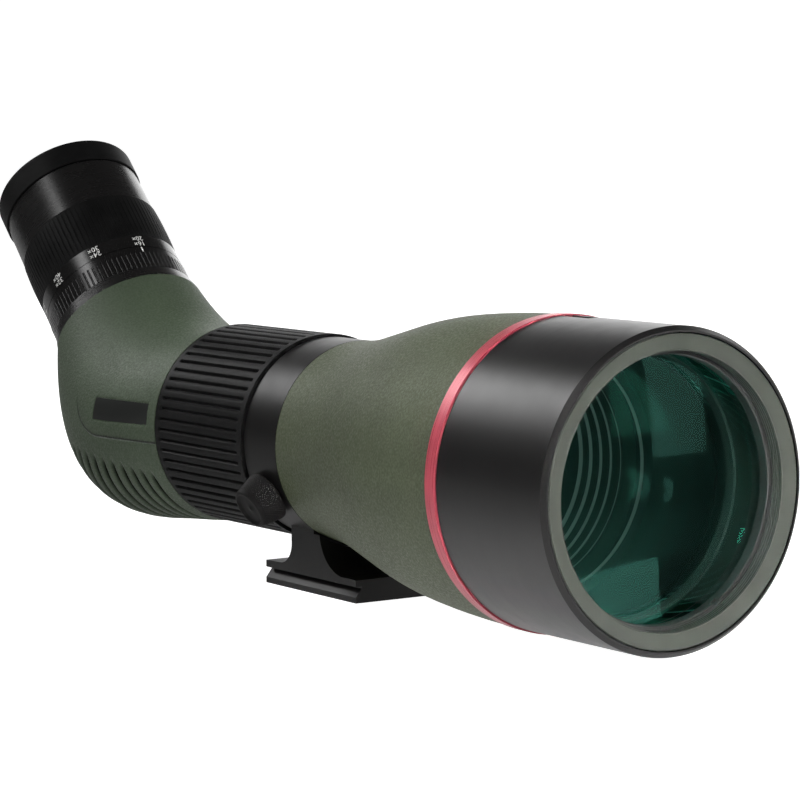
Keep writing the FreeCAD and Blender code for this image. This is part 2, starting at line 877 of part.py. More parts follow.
def make_sunshade():
    """Sliding sunshade with a sighting groove along its top."""
    body = turned("sunshade_hood", [
        ("hood_rear", "hood_lip_bore"),
        ("hood_rear + hood_lip_length", "hood_lip_bore"),
        ("hood_rear + hood_lip_length", "hood_bore"),
        ("hood_front + hood_nose", "hood_bore"),
        ("hood_front + hood_nose", "hood_nose_radius"),
        ("hood_front", "hood_radius"),
        ("hood_rear + hood_rear_edge", "hood_radius"),
        ("hood_rear", "hood_radius - hood_rear_edge"),
    ])
    sketch = new_sketch(body, "sight_groove", "YZ_Plane")
    draw_outline(sketch, [
        ("- sight_groove_width", "sight_groove_floor"),
        ("sight_groove_width", "sight_groove_floor"),
        ("sight_groove_width", "hood_radius + slip"),
        ("- sight_groove_width", "hood_radius + slip"),
    ])
    sketch.setExpression("AttachmentOffset.Base.z", bound("sight_groove_rear"))
    cut_pocket(body, sketch, "sight_groove_cut", symmetric=False)


def make_objective_cell():
    """Tube that holds the objective and that the sunshade slides on, with its friction band."""
    turned("objective_cell", [
        ("cell_rear", "cell_stop_bore"),
        ("cell_stop_front", "cell_stop_bore"),
        ("cell_stop_front", "cell_bore"),
        ("cell_shoulder_rear", "cell_bore"),
        ("cell_shoulder_rear", "cell_shoulder_bore"),
        ("cell_shoulder", "cell_shoulder_bore"),
        ("cell_shoulder", "cell_glass_bore"),
        ("cell_mouth", "cell_glass_bore"),
        ("cell_mouth", "cell_mouth_bore"),
        ("cell_front", "cell_mouth_bore"),
        ("cell_front", "cell_radius"),
        ("band_front", "cell_radius"),
        ("band_front", "band_seat"),
        ("band_rear", "band_seat"),
        ("band_rear", "cell_radius"),
        ("barrel_front", "cell_radius"),
        ("barrel_front", "cell_seat_radius"),
        ("cell_seal_front", "cell_seat_radius"),
        ("cell_seal_front", "cell_seal_floor"),
        ("cell_seal_rear", "cell_seal_floor"),
        ("cell_seal_rear", "cell_seat_radius"),
        ("cell_rear", "cell_seat_radius"),
    ])
    ring("cell_o_ring", "cell_seal_rear", "cell_seal_front", "cell_seal_floor", "cell_seat_radius")
    ring("hood_friction_band", "band_rear", "band_front", "band_seat", "band_radius")


def make_bezel():
    """Front bezel: dished face, and a threaded bore for a filter or an adapter."""
    turned("front_bezel", [
        ("cell_mouth", "bezel_bore"),
        ("bezel_mouth", "bezel_bore"),
        ("bezel_tip", "bezel_radius - slip"),
        ("bezel_tip - slip", "bezel_radius"),
        ("cell_front", "bezel_radius"),
        ("cell_front", "cell_mouth_bore"),
        ("cell_mouth", "cell_mouth_bore"),
    ])


def make_retaining_ring():
    """Threaded ring that holds the objective in its cell, with two spanner notches."""
    body = turned("objective_retaining_ring", [
        ("ring_rear", "ring_bore"),
        ("ring_front - slip", "ring_bore"),
        ("ring_front", "ring_bore + slip"),
        ("ring_front", "cell_glass_bore"),
        ("ring_rear", "cell_glass_bore"),
    ])
    sketch = new_sketch(body, "spanner_notches", "XY_Plane")
    draw_box(
        sketch,
        "ring_front - spanner_notch_depth",
        "ring_front + slip",
        "- cell_mouth_bore",
        "cell_mouth_bore",
    )
    DOC.recompute()
    before = body.Shape.Volume
    notch = body.newObject("PartDesign::Pocket", "spanner_notch_cut")
    notch.Profile = sketch
    notch.Midplane = True
    notch.setExpression("Length", "Dims.spanner_notch")
    DOC.recompute()
    if body.Shape.Volume >= before:
        raise ValueError("spanner_notch_cut cuts nothing")
    roll = FreeCAD.Rotation(FreeCAD.Vector(1, 0, 0), amount("spanner_notch_roll"))
    body.Placement = FreeCAD.Placement(body.Placement.Base, roll)


def make_objective_glass():
    """Air-spaced triplet with its spacer, in order from the front."""
    lens("objective_front_lens", "front_lens_nose", "front_lens_edge", "front_lens_back",
         "front_lens_tail", "glass_radius")
    lens("objective_middle_lens", "middle_lens_nose", "middle_lens_edge", "middle_lens_back",
         "middle_lens_back", "glass_radius")
    turned("lens_spacer_ring", [
        ("rear_lens_edge + slip", "spacer_bore"),
        ("spacer_front", "spacer_bore"),
        ("spacer_front", "glass_radius"),
        ("rear_lens_edge", "glass_radius"),
    ])
    lens("objective_rear_lens", "rear_lens_nose", "rear_lens_edge", "rear_lens_back",
         "rear_lens_tail", "glass_radius")


def make_baffles():
    """Light baffles: thin black washers with shrinking bores, in the tube behind the glass."""
    group = DOC.addObject("Part::Compound", "light_baffles")
    washers = []
    for number in range(int(amount("baffle_count"))):
        station = amount("baffle_first") - number * amount("baffle_pitch")
        rear_wall = bound("flare_three_radius - armour_thickness - casting_thickness")
        disc = DOC.addObject("Part::Cylinder", "baffle_disc_%d" % number)
        along = "(%s - Dims.flare_three) / (Dims.cell_seat_rear - Dims.flare_three)" % station
        disc.setExpression("Radius", "%s + (Dims.cell_seat_radius - (%s)) * %s - Dims.slip" % (
            rear_wall, rear_wall, along))
        disc.setExpression("Height", bound("baffle_thickness"))
        hole = DOC.addObject("Part::Cone", "baffle_hole_%d" % number)
        bore = "Dims.baffle_first_bore - %d * Dims.baffle_step" % number
        hole.setExpression("Radius1", bore)
        hole.setExpression("Radius2", bore + " + Dims.baffle_thickness / 2")
        hole.setExpression("Height", bound("baffle_thickness"))
        washer = DOC.addObject("Part::Cut", "baffle_%d" % number)
        washer.Base = disc
        washer.Tool = hole
        washer.Placement = FreeCAD.Placement(
            FreeCAD.Vector(station, 0, 0),
            FreeCAD.Rotation(FreeCAD.Vector(0, 1, 0), 90),
        )
        washers.append(washer)
    group.Links = washers
    group.Label = "light_baffles"
    place(group, "barrel")
    PARTS.append(group)


# ---------------------------------------------------------------- focusing

def make_focus_ring():
    """Ribbed rubber grip on a sleeve that turns round the neck."""
    grip = ring("focus_grip", "focus_rear", "focus_front", "focus_grip_bore", "focus_radius")
    sketch = new_sketch(grip, "rib_groove", "XZ_Plane")
    draw_box(
        sketch,
        "focus_rear + focus_rim",
        "focus_front - focus_rim",
        "focus_radius - focus_groove_depth",
        "focus_radius + slip",
    )
    DOC.recompute()
    before = grip.Shape.Volume
    groove = grip.newObject("PartDesign::Pocket", "rib_groove_cut")
    groove.Profile = sketch
    groove.Midplane = True
    groove.setExpression("Length", "2 * Dims.focus_groove_half_width")
    DOC.recompute()
    if grip.Shape.Volume >= before:
        raise ValueError("rib_groove_cut cuts nothing")
    repeat_round(grip, groove, int(amount("focus_groove_count")))
    turned("focus_sleeve", [
        ("focus_rear", "focus_sleeve_bore"),
        ("focus_relief_rear", "focus_sleeve_bore"),
        ("focus_relief_rear", "focus_relief"),
        ("focus_relief_front", "focus_relief"),
        ("focus_relief_front", "focus_sleeve_bore"),
        ("focus_sleeve_front", "focus_sleeve_bore"),
        ("focus_sleeve_front", "focus_grip_bore"),
        ("focus_rear", "focus_grip_bore"),
    ])


def make_focus_carriage():
    """Sliding cell with the focusing lens, its retaining ring and the drive pins."""
    turned("focusing_cell", [
        ("carriage_rear", "carriage_bore"),
        ("carriage_seat", "carriage_bore"),
        ("carriage_seat", "carriage_glass"),
        ("carriage_front", "carriage_glass"),
        ("carriage_front", "carriage_radius"),
        ("carriage_rear", "carriage_radius"),
    ])
    lens("focusing_lens", "focus_lens_nose", "focus_lens_front", "carriage_seat",
         "focus_lens_tail", "carriage_glass")
    ring("focusing_lens_ring", "focus_lens_front", "carriage_front", "carriage_bore", "carriage_glass")
    radial_pins("focus_drive_pins", "focus_pin_station", "focus_pin_radius", "carriage_radius",
                "focus_pin_tip", "barrel")


# ---------------------------------------------------------------- prism housing

def fan_frame(angle, reach):
    """Point and directions of one section that fans round the pivot above the bend."""
    turn = math.radians(angle)
    outward = FreeCAD.Vector(-math.sin(turn), 0, -math.cos(turn))
    forward = FreeCAD.Vector(-math.cos(turn), 0, math.sin(turn))
    pivot = FreeCAD.Vector(amount("pivot_station"), 0, amount("axis_height + pivot_height"))
    return pivot + outward * reach, outward, forward


def housing_loft(name, inset="centre", end_angle="centre"):
    """Closed loft through the housing's sections, shrunk by an inset."""
    sections = []
    for section in HOUSING_SECTIONS:
        angle = amount(section + "_angle")
        if section == "rear":
            angle += amount(end_angle)
        if section == "seat":
            angle -= amount(end_angle)
        centre, outward, forward = fan_frame(angle, amount(section + "_reach"))
        oval = DOC.addObject("Part::Ellipse", name + "_" + section)
        oval.Placement = FreeCAD.Placement(
            centre,
            columns_rotation(FreeCAD.Vector(0, 1, 0), outward, forward),
        )
        oval.setExpression("MajorRadius", bound(section + "_width") + " - (" + bound(inset) + ")")
        oval.setExpression("MinorRadius", bound(section + "_height") + " - (" + bound(inset) + ")")
        sections.append(oval)
    loft = DOC.addObject("Part::Loft", name)
    loft.Sections = sections
    loft.Solid = True
    loft.Ruled = False
    DOC.recompute()
    return loft


def subtract(name, base, tool):
    """Boolean difference as a document object."""
    result = DOC.addObject("Part::Cut", name)
    result.Base = base
    result.Tool = tool
    DOC.recompute()
    return result


def gather(name, items):
    """Boolean union of several tools as one document object."""
    result = DOC.addObject("Part::MultiFuse", name)
    result.Shapes = items
    DOC.recompute()
    return result


def axis_cylinder(name, seat, rear, front, radius):
    """Solid cylinder along a local frame's X axis."""
    placement, base = seat_of(seat)
    cylinder = DOC.addObject("Part::Cylinder", name)
    cylinder.setExpression("Radius", bound(radius))
    cylinder.setExpression("Height", bound(front) + " - (" + bound(rear) + ")")
    along = FreeCAD.Placement(
        FreeCAD.Vector(amount(rear), 0, 0),
        FreeCAD.Rotation(FreeCAD.Vector(0, 1, 0), 90),
    )
    cylinder.Placement = placement.multiply(along)
    return cylinder


def finish_part(item, label):
    """Name a boolean result as an exported sub-part."""
    item.Label = label
    PARTS.append(item)
    return item


def rib_plates():
    """Thin plates in the fan's planes, one for each moulded grip groove on the lower half."""
    plates = []
    for number in range(int(amount("rib_count"))):
        angle = amount("rib_start") + number * amount("rib_pitch")
        centre, outward, forward = fan_frame(angle, amount("lower_reach + rib_drop"))
        plate = DOC.addObject("Part::Box", "rib_plate_%d" % number)
        plate.setExpression("Length", "2 * Dims.knee_width")
        plate.setExpression("Width", "Dims.knee_height")
        plate.setExpression("Height", "Dims.rib_width")
        corner = centre - forward * (amount("rib_width") / 2)
        corner = corner - FreeCAD.Vector(0, amount("knee_width"), 0)
        plate.Placement = FreeCAD.Placement(
            corner,
            columns_rotation(FreeCAD.Vector(0, 1, 0), outward, forward),
        )
        plates.append(plate)
    return gather("rib_plates", plates)


def seam_tool():
    """Shallow groove that runs back along both sides and curls up behind the badge."""
    height = amount("axis_height + seam_height")
    rear = amount("seam_rear")
    bend = amount("seam_bend")
    start = FreeCAD.Vector(amount("pivot_station - overshoot"), 0, height)
    turn = FreeCAD.Vector(rear, 0, height)
    middle = FreeCAD.Vector(rear - bend * math.sin(math.pi / 6), 0,
                            height + bend * (1 - math.cos(math.pi / 6)))
    end = FreeCAD.Vector(rear - bend * math.sin(math.pi / 3), 0,
                         height + bend * (1 - math.cos(math.pi / 3)))
    path = Part.Wire([Part.LineSegment(start, turn).toShape(), Part.Arc(turn, middle, end).toShape()])
    band = path.makeOffset2D(amount("seam_width") / 2, fill=False, openResult=False)
    width = amount("knee_width + knee_width + overshoot + overshoot")
    strip = Part.Face(band).extrude(FreeCAD.Vector(0, width, 0))
    strip.translate(FreeCAD.Vector(0, -width / 2, 0))
    tool = DOC.addObject("Part::Feature", "seam_strip")
    tool.Shape = strip
    return tool


def badge_block():
    """Block that marks out the blank badge on the right-hand side."""
    block = DOC.addObject("Part::Box", "badge_block")
    block.setExpression("Length", bound("badge_front - badge_rear"))
    block.setExpression("Width", "Dims.knee_width")
    block.setExpression("Height", bound("badge_high - badge_low"))
    corner = FreeCAD.Vector(
        amount("badge_rear"),
        -amount("knee_width + skin_cut_depth"),
        amount("axis_height + badge_low"),
    )
    block.Placement = FreeCAD.Placement(corner, FreeCAD.Rotation())
    return block


def flange_tools(name, radius, rear, front):
    """Cylinders on the flange's screw circle, to drill with or to make screws from."""
    tools = []
    for number in range(int(amount("flange_screw_count"))):
        spin = FreeCAD.Rotation(FreeCAD.Vector(1, 0, 0), 360.0 * number / amount("flange_screw_count"))
        offset = spin.multVec(FreeCAD.Vector(0, 0, amount("flange_screw_circle")))
        tool = axis_cylinder("%s_%d" % (name, number), "barrel", rear, front, radius)
        tool.Placement.Base = tool.Placement.Base + offset
        tools.append(tool)
    return tools


def make_flange_screws():
    """Screws that hold the prism housing to the barrel, as a group of separate solids."""
    face = "barrel_rear + flange_thickness"
    shanks = flange_tools("flange_shank", "flange_screw_shank", face + " - flange_screw_length", face)
    heads = flange_tools("flange_head", "flange_screw_head", face, face + " + flange_screw_head_height")
    group = DOC.addObject("Part::Compound", "flange_screws")
    group.Links = [gather("flange_screw_%d" % number, pair)
                   for number, pair in enumerate(zip(shanks, heads))]
    finish_part(group, "flange_screws")


def make_housing():
    """Prism housing: cast shell, moulded rubber armour with grip grooves, and a blank badge."""
    outer = housing_loft("armour_outside")
    casting = housing_loft("casting_outside", inset="rear_armour_wall")
    hollow = housing_loft("casting_inside", inset="rear_armour_wall + rear_casting_wall",
                          end_angle="hollow_end_angle")
    shallow = housing_loft("skin_floor", inset="skin_cut_depth")
    badge_tool = subtract("badge_tool", badge_block(), shallow)
    badge = DOC.addObject("Part::Common", "badge_plate")
    badge.Base = badge_tool
    badge.Tool = outer
    finish_part(badge, "badge_plate")
    armour = subtract("armour_skin", outer, casting)
    armour = subtract("armour_badge_seat", armour, badge_tool)
    armour = subtract("armour_seam", armour, subtract("seam_groove", seam_tool(), shallow))
    grooves = subtract("grip_grooves", rib_plates(), housing_loft("rib_floor", inset="rib_depth"))
    finish_part(subtract("rear_armour", armour, grooves), "rear_armour")
    bores = [
        axis_cylinder("front_window", "barrel", "barrel_rear - clamp_leg", "barrel_rear + slip", "flange_bore"),
        axis_cylinder("eyepiece_window", "eyepiece", "tube_start", "seat_station + slip", "tube_radius"),
    ]
    drills = flange_tools("flange_drill", "flange_screw_shank",
                          "barrel_rear - flange_screw_length", "barrel_rear + slip")
    shell = subtract("housing_shell", casting, gather("housing_cuts", [hollow] + bores + drills))
    finish_part(shell, "prism_housing")


# ---------------------------------------------------------------- prism

def prism_corners():
    """Apex, entrance corner and exit corner of the roof prism's side view, in the barrel frame."""
    half_bend = math.radians((180 - amount("eyepiece_angle")) / 2)
    reach = amount("prism_reach")
    side = amount("prism_side")
    turn = math.radians(amount("eyepiece_angle"))
    apex = FreeCAD.Vector(amount("eyepiece_crossing") + reach * math.cos(half_bend), 0,
                          amount("axis_height") + reach * math.sin(half_bend))
    entrance = apex + FreeCAD.Vector(0, 0, -side)
    leaving = apex + FreeCAD.Vector(-math.sin(turn), 0, -math.cos(turn)) * side
    return apex, entrance, leaving


def slab(name, corners, width):
    """Upright slab through the given side-view corners, centred on the plane of symmetry."""
    half = FreeCAD.Vector(0, width / 2, 0)
    outline = Part.makePolygon([corner - half for corner in corners + corners[:1]])
    item = DOC.addObject("Part::Feature", name)
    item.Shape = Part.Face(outline).extrude(half * 2)
    return item


def make_prism():
    """Roof prism, its cage, and the spring clamp with two screws."""
    apex, entrance, leaving = prism_corners()
    finish_part(slab("schmidt_prism", [apex, entrance, leaving], amount("prism_width")), "schmidt_prism")
    base = (leaving - entrance).normalize()
    below = FreeCAD.Vector(base.z, 0, -base.x)
    if below.z > 0:
        below = below * -1
    wall = below * amount("cage_wall")
    foot = amount("cage_foot")
    low = amount("axis_height + cage_foot_low")
    high = amount("axis_height + cage_foot_high")
    feet = [FreeCAD.Vector(foot, 0, low), FreeCAD.Vector(foot, 0, high)]
    outside = feet + [apex, leaving, leaving + wall, entrance + wall]
    inside = [corner + FreeCAD.Vector(amount("cage_wall"), 0, 0) for corner in feet]
    block = slab("cage_block", outside, amount("cage_width"))
    past_apex = apex + (apex - leaving).normalize() * amount("cage_opening")
    gap = slab("cage_gap", inside + [past_apex, leaving, entrance], amount("prism_width"))
    make_prism_clamp(apex, subtract("cage_walls", block, gap))


def make_prism_clamp(apex, cage):
    """Strap of spring sheet over the prism's top edge, screwed to the sides of the cage."""
    reach = FreeCAD.Vector(amount("clamp_half_length"), 0, 0)
    sheet = amount("clamp_thickness")
    drop = FreeCAD.Vector(0, 0, -amount("clamp_leg"))
    top = FreeCAD.Vector(0, 0, sheet)
    strap = slab("clamp_block", [apex - reach + top, apex + reach + top, apex + reach + drop,
                                 apex - reach + drop], amount("cage_width") + 2 * sheet)
    gap = slab("clamp_gap", [apex - reach * 2, apex + reach * 2, apex + reach * 2 + drop * 2,
                             apex - reach * 2 + drop * 2], amount("cage_width"))
    clamp = subtract("clamp_strap", strap, gap)
    drills = []
    screws = []
    for number, side in enumerate((1, -1)):
        outward = FreeCAD.Vector(0, side, 0)
        middle = apex - FreeCAD.Vector(0, 0, amount("small_screw_drop"))
        plate_inside = middle + outward * (amount("prism_width") / 2)
        strap_outside = middle + outward * (amount("cage_width") / 2 + sheet)
        length = (strap_outside - plate_inside).Length
        shank = DOC.addObject("Part::Cylinder", "small_shank_%d" % number)
        shank.setExpression("Radius", bound("small_screw_shank"))
        shank.Height = length
        shank.Placement = FreeCAD.Placement(plate_inside, FreeCAD.Rotation(FreeCAD.Vector(0, 0, 1), outward))
        head = DOC.addObject("Part::Cylinder", "small_head_%d" % number)
        head.setExpression("Radius", bound("small_screw_head"))
        head.setExpression("Height", bound("small_screw_head_height"))
        head.Placement = FreeCAD.Placement(strap_outside, FreeCAD.Rotation(FreeCAD.Vector(0, 0, 1), outward))
        drills.append(shank)
        screws.append(gather("small_screw_%d" % number, [shank, head]))
    drills = gather("small_drills", drills)
    finish_part(subtract("prism_clamp", clamp, drills), "prism_clamp")
    finish_part(subtract("prism_cage", cage, drills), "prism_cage")
    group = DOC.addObject("Part::Compound", "prism_clamp_screws")
    group.Links = screws
    finish_part(group, "prism_clamp_screws")


# ---------------------------------------------------------------- eyepiece

def make_eyepiece_tube():
    """Fixed tube of the eyepiece, with slots for the zoom groups' pins, and its seal."""
    body = turned("eyepiece_tube", [
        ("tube_start", "tube_bore"),
        ("tube_end", "tube_bore"),
        ("tube_end", "tube_radius"),
        ("seal_end", "tube_radius"),
        ("seal_end", "seal_floor"),
        ("seal_start", "seal_floor"),
        ("seal_start", "tube_radius"),
        ("tube_start", "tube_radius"),
    ], "eyepiece")
    axial_slots(body, "zoom_front_pin - slot_end",
                "zoom_front_pin + zoom_front_travel + slot_end", "zoom_slot_half_width")
    axial_slots(body, "zoom_rear_pin - zoom_rear_travel - slot_end",
                "zoom_rear_pin + slot_end", "zoom_slot_half_width")
    ring("eyepiece_o_ring", "seal_start", "seal_end", "seal_floor", "tube_radius", "eyepiece")


def make_eyepiece_rings():
    """Base ring, knurled union ring and index ring at the foot of the eyepiece."""
    turned("eyepiece_base_ring", [
        ("seat_station", "base_ring_bore"),
        ("base_ring_end", "base_ring_bore"),
        ("base_ring_end", "base_ring_radius"),
        ("seat_station", "seat_radius"),
    ], "eyepiece")
    union = ring("union_ring", "union_start", "union_end", "union_bore", "union_radius", "eyepiece")
    flute_rim(union, "union_radius + running", "union_notch_radius", "union_notch_count")
    ring("index_ring", "index_start", "index_end", "tube_radius", "index_radius", "eyepiece")


def make_zoom_ring():
    """Zoom ring: cam tube, band for the magnification numbers and ribbed rubber grip."""
    turned("zoom_cam_tube", [
        ("scale_start", "zoom_tube_bore"),
        ("zoom_relief_start", "zoom_tube_bore"),
        ("zoom_relief_start", "zoom_relief"),
        ("zoom_relief_end", "zoom_relief"),
        ("zoom_relief_end", "zoom_tube_bore"),
        ("grip_end", "zoom_tube_bore"),
        ("grip_end", "zoom_tube_radius"),
        ("scale_start", "zoom_tube_radius"),
    ], "eyepiece")
    ring("scale_ring", "scale_start", "scale_end", "zoom_tube_radius", "scale_radius", "eyepiece")
    grip = turned("zoom_grip", [
        ("scale_end", "zoom_tube_radius"),
        ("grip_end", "zoom_tube_radius"),
        ("grip_end", "grip_radius"),
        ("scale_end", "grip_radius", ("grip_crown", "left")),
    ], "eyepiece")
    flute_rim(grip, "grip_radius + slip", "grip_groove_radius", "grip_groove_count")


def zoom_group(name):
    """One moving lens group of the zoom: cell, lens and drive pins."""
    start = name + "_start"
    end = name + "_end"
    seat = start + " + zoom_glass_seat"
    turned(name + "_cell", [
        (start, "zoom_cell_bore"),
        (seat, "zoom_cell_bore"),
        (seat, "zoom_glass_radius"),
        (end, "zoom_glass_radius"),
        (end, "zoom_cell_radius"),
        (start, "zoom_cell_radius"),
    ], "eyepiece")
    face = seat + " + zoom_glass_edge"
    lens(name + "_lens", face + " + zoom_glass_bulge", face, seat, seat, "zoom_glass_radius", "eyepiece")
    radial_pins(name + "_pins", name + "_pin", "zoom_pin_radius", "zoom_cell_radius",
                "zoom_pin_tip", "eyepiece")


def make_eye_end():
    """Field lens, field stop and eye lens, each seated in the fixed tube."""
    turned("field_lens_cell", [
        ("tube_start", "zoom_cell_bore"),
        ("field_glass_start", "zoom_cell_bore"),
        ("field_glass_start", "zoom_glass_radius"),
        ("field_cell_end", "zoom_glass_radius"),
        ("field_cell_end", "tube_bore"),
        ("tube_start", "tube_bore"),
    ], "eyepiece")
    lens("field_lens", "field_glass_nose", "field_glass_end", "field_glass_start",
         "field_glass_start", "zoom_glass_radius", "eyepiece")
    ring("field_stop", "field_stop_rear", "field_stop_front", "field_stop_bore", "tube_bore", "eyepiece")
    turned("eye_lens_cell", [
        ("eye_cell_start", "eye_cell_bore"),
        ("eye_glass_start - slip", "eye_cell_bore"),
        ("eye_glass_start", "eye_glass_radius"),
        ("eye_glass_end + slip", "eye_glass_radius"),
        ("eye_cell_end", "eye_glass_radius + running + running"),
        ("eye_cell_end", "eye_cell_flange"),
        ("tube_end", "eye_cell_flange"),
        ("tube_end", "tube_bore"),
        ("eye_cell_start", "tube_bore"),
    ], "eyepiece")
    lens("eye_lens", "eye_glass_nose", "eye_glass_end", "eye_glass_start", "eye_glass_tail",
         "eye_glass_radius", "eyepiece")


def make_eyecup():
    """Twist-up eyecup: sliding guide ring, outer sleeve and soft rubber rim."""
    ring("eyecup_guide", "guide_start", "guide_end", "zoom_tube_bore", "guide_radius", "eyepiece")
    turned("eyecup_sleeve", [
        ("cup_start", "cup_bore"),
        ("cup_joint", "cup_bore"),
        ("cup_joint", "cup_waist - slip"),
        ("cup_land", "cup_waist"),
        ("cup_start", "cup_radius"),
    ], "eyepiece")
    turned("eyecup_rubber", [
        ("cup_joint", "lip_throat"),
        ("cup_joint", "lip_radius - slip"),
        ("cup_joint + slip", "lip_radius"),
        ("lip_edge", "lip_radius"),
        ("cup_end", "lip_radius - lip_round", ("lip_round", "right")),
        ("cup_end", "lip_inner"),
        ("lip_slope", "lip_throat + running"),
        ("lip_slope", "lip_throat"),
    ], "eyepiece")


def main():
    """Build every sub-part, check it and write it out."""
    make_collar()
    make_thread_insert()
    make_collar_liner()
    make_clamp()
    make_main_barrel()
    make_front_armour()
    make_barrel_rings()
    make_sunshade()
    make_objective_cell()
    make_bezel()
    make_retaining_ring()
    make_objective_glass()
    make_baffles()
    make_focus_ring()
    make_focus_carriage()
    make_housing()
    make_flange_screws()
    make_prism()
    make_eyepiece_tube()
    make_eyepiece_rings()
    make_zoom_ring()
    zoom_group("zoom_front")
    zoom_group("zoom_rear")
    make_eye_end()
    make_eyecup()
    export_parts()


def export_parts():
    """Check each sub-part and write it as STEP."""
    DOC.recompute()
    for item in DOC.Objects:
        if "Invalid" in item.State or "Error" in item.State:
            raise ValueError("%s failed: %s" % (item.Name, item.State))
    os.makedirs("parts", exist_ok=True)
    for item in PARTS:
        if item.Shape.isNull() or not item.Shape.isValid():
            raise ValueError(item.Label + " has no valid shape")
        item.Shape.exportStep("parts/" + item.Label + ".step")
        print(item.Label, len(item.Shape.Solids), round(item.Shape.Volume))


main()
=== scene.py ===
"""Looks of the spotting scope: camera, studio, materials and detailed pieces over the CAD frame."""
import json
import math

import bmesh
import bpy
import numpy as np
from mathutils import Matrix, Vector


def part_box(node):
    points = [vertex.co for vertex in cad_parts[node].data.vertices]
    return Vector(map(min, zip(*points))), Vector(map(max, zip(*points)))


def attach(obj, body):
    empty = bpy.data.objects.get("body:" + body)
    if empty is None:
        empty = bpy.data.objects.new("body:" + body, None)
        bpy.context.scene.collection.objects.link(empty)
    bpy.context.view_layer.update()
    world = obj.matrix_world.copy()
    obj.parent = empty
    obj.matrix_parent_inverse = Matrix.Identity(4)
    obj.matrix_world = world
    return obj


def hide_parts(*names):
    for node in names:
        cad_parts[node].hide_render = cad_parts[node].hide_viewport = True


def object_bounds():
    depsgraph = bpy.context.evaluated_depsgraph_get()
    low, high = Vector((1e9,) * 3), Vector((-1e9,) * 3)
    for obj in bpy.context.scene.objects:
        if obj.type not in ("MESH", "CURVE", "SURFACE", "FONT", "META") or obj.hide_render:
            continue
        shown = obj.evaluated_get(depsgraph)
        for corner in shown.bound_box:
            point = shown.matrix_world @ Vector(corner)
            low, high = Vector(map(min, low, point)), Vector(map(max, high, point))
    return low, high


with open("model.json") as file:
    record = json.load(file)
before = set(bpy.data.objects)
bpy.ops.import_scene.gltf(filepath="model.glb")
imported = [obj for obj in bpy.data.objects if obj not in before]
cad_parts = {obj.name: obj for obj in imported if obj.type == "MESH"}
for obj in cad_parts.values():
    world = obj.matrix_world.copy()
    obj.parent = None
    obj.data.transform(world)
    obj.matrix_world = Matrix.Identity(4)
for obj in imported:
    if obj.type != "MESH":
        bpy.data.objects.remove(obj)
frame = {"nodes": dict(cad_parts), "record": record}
CAD_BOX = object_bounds()

MM = 0.001
NODES = frame["nodes"]
RECORD = frame["record"]
JOINTS = {joint["name"]: joint for joint in RECORD["behaviour"]["joints"]}
BODY_OF = {node: body for body, nodes in RECORD["behaviour"]["bodies"].items() for node in nodes}
SLOT_OF = {part["node"]: part["material_slot"] for part in RECORD["subparts"]}

SHARP_ANGLE = math.radians(35)


# ---------------------------------------------------------------- local frames and sizes from the CAD

def joint_frame(name, sideways):
    """Matrix whose X axis is a joint's axis and whose Y axis is the given direction across it."""
    joint = JOINTS[name]
    along = Vector(joint["axis"]).normalized()
    across = Vector(sideways)
    columns = (along, across, along.cross(across))
    matrix = Matrix([[column[row] for column in columns] for row in range(3)]).to_4x4()
    matrix.translation = Vector(joint["pos_m"])
    return matrix


BARREL = joint_frame("focus_turn", (0, 1, 0))
EYEPIECE = joint_frame("zoom_turn", (0, 1, 0))
KNOB = joint_frame("clamp_knob_turn", (1, 0, 0))


def span(node, seat):
    """Lowest and highest station, and inner and outer radius, of a CAD node about an axis, in mm."""
    mesh = NODES[node].data
    places = np.empty(len(mesh.vertices) * 3)
    mesh.vertices.foreach_get("co", places)
    turn = np.array(seat.inverted())
    local = places.reshape(-1, 3) @ turn[:3, :3].T + turn[:3, 3]
    stations = local[:, 0] / MM
    radii = np.hypot(local[:, 1], local[:, 2]) / MM
    return stations.min(), stations.max(), radii.min(), radii.max()


# ---------------------------------------------------------------- mesh helpers

def new_mesh_object(name, points, faces):
    """Object from points in metres, with outward normals, smooth faces and sharp hard edges."""
    mesh = bpy.data.meshes.new(name)
    mesh.from_pydata(points, [], faces)
    shell = bmesh.new()
    shell.from_mesh(mesh)
    bmesh.ops.recalc_face_normals(shell, faces=shell.faces)
    shell.to_mesh(mesh)
    shell.free()
    mesh.shade_smooth()
    mesh.set_sharp_from_angle(angle=SHARP_ANGLE)
    item = bpy.data.objects.new(name, mesh)
    bpy.context.scene.collection.objects.link(item)
    return item


def grid_faces(around, along):
    """Faces of a grid that closes on itself both ways."""
    faces = []
    for turn in range(around):
        following = (turn + 1) % around
        for step in range(along):
            onward = (step + 1) % along
            faces.append((turn * along + step, turn * along + onward,
                          following * along + onward, following * along + step))
    return faces


def turned_piece(name, seat, loop, around, bulge=None):
    """Closed piece turned about a frame's X axis from a loop of (station, radius) in mm.

    bulge(station, angle) gives the extra radius of the points whose third item is True.
    """
    points = []
    for turn in range(around):
        angle = 2 * math.pi * turn / around
        for corner in loop:
            station, radius = corner[:2]
            if len(corner) == 3:
                radius += bulge(station, angle)
            local = Vector((station, radius * math.cos(angle), radius * math.sin(angle)))
            points.append(seat @ (local * MM))
    return new_mesh_object(name, points, grid_faces(around, len(loop)))


def steps(start, end, count):
    """Evenly spaced values from start to end."""
    return [start + (end - start) * number / (count - 1) for number in range(count)]


def smooth_step(value):
    """Zero below 0, one above 1 and a soft rise between."""
    value = min(max(value, 0.0), 1.0)
    return value * value * (3 - 2 * value)


def fix_to(item, node, material):
    """Give a piece its material, and the body of a CAD node."""
    item.data.materials.append(material)
    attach(item, BODY_OF[node])


def stand_in(item, node, material):
    """Let a piece take the place of a CAD node."""
    fix_to(item, node, material)
    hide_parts(node)


# ---------------------------------------------------------------- material helpers

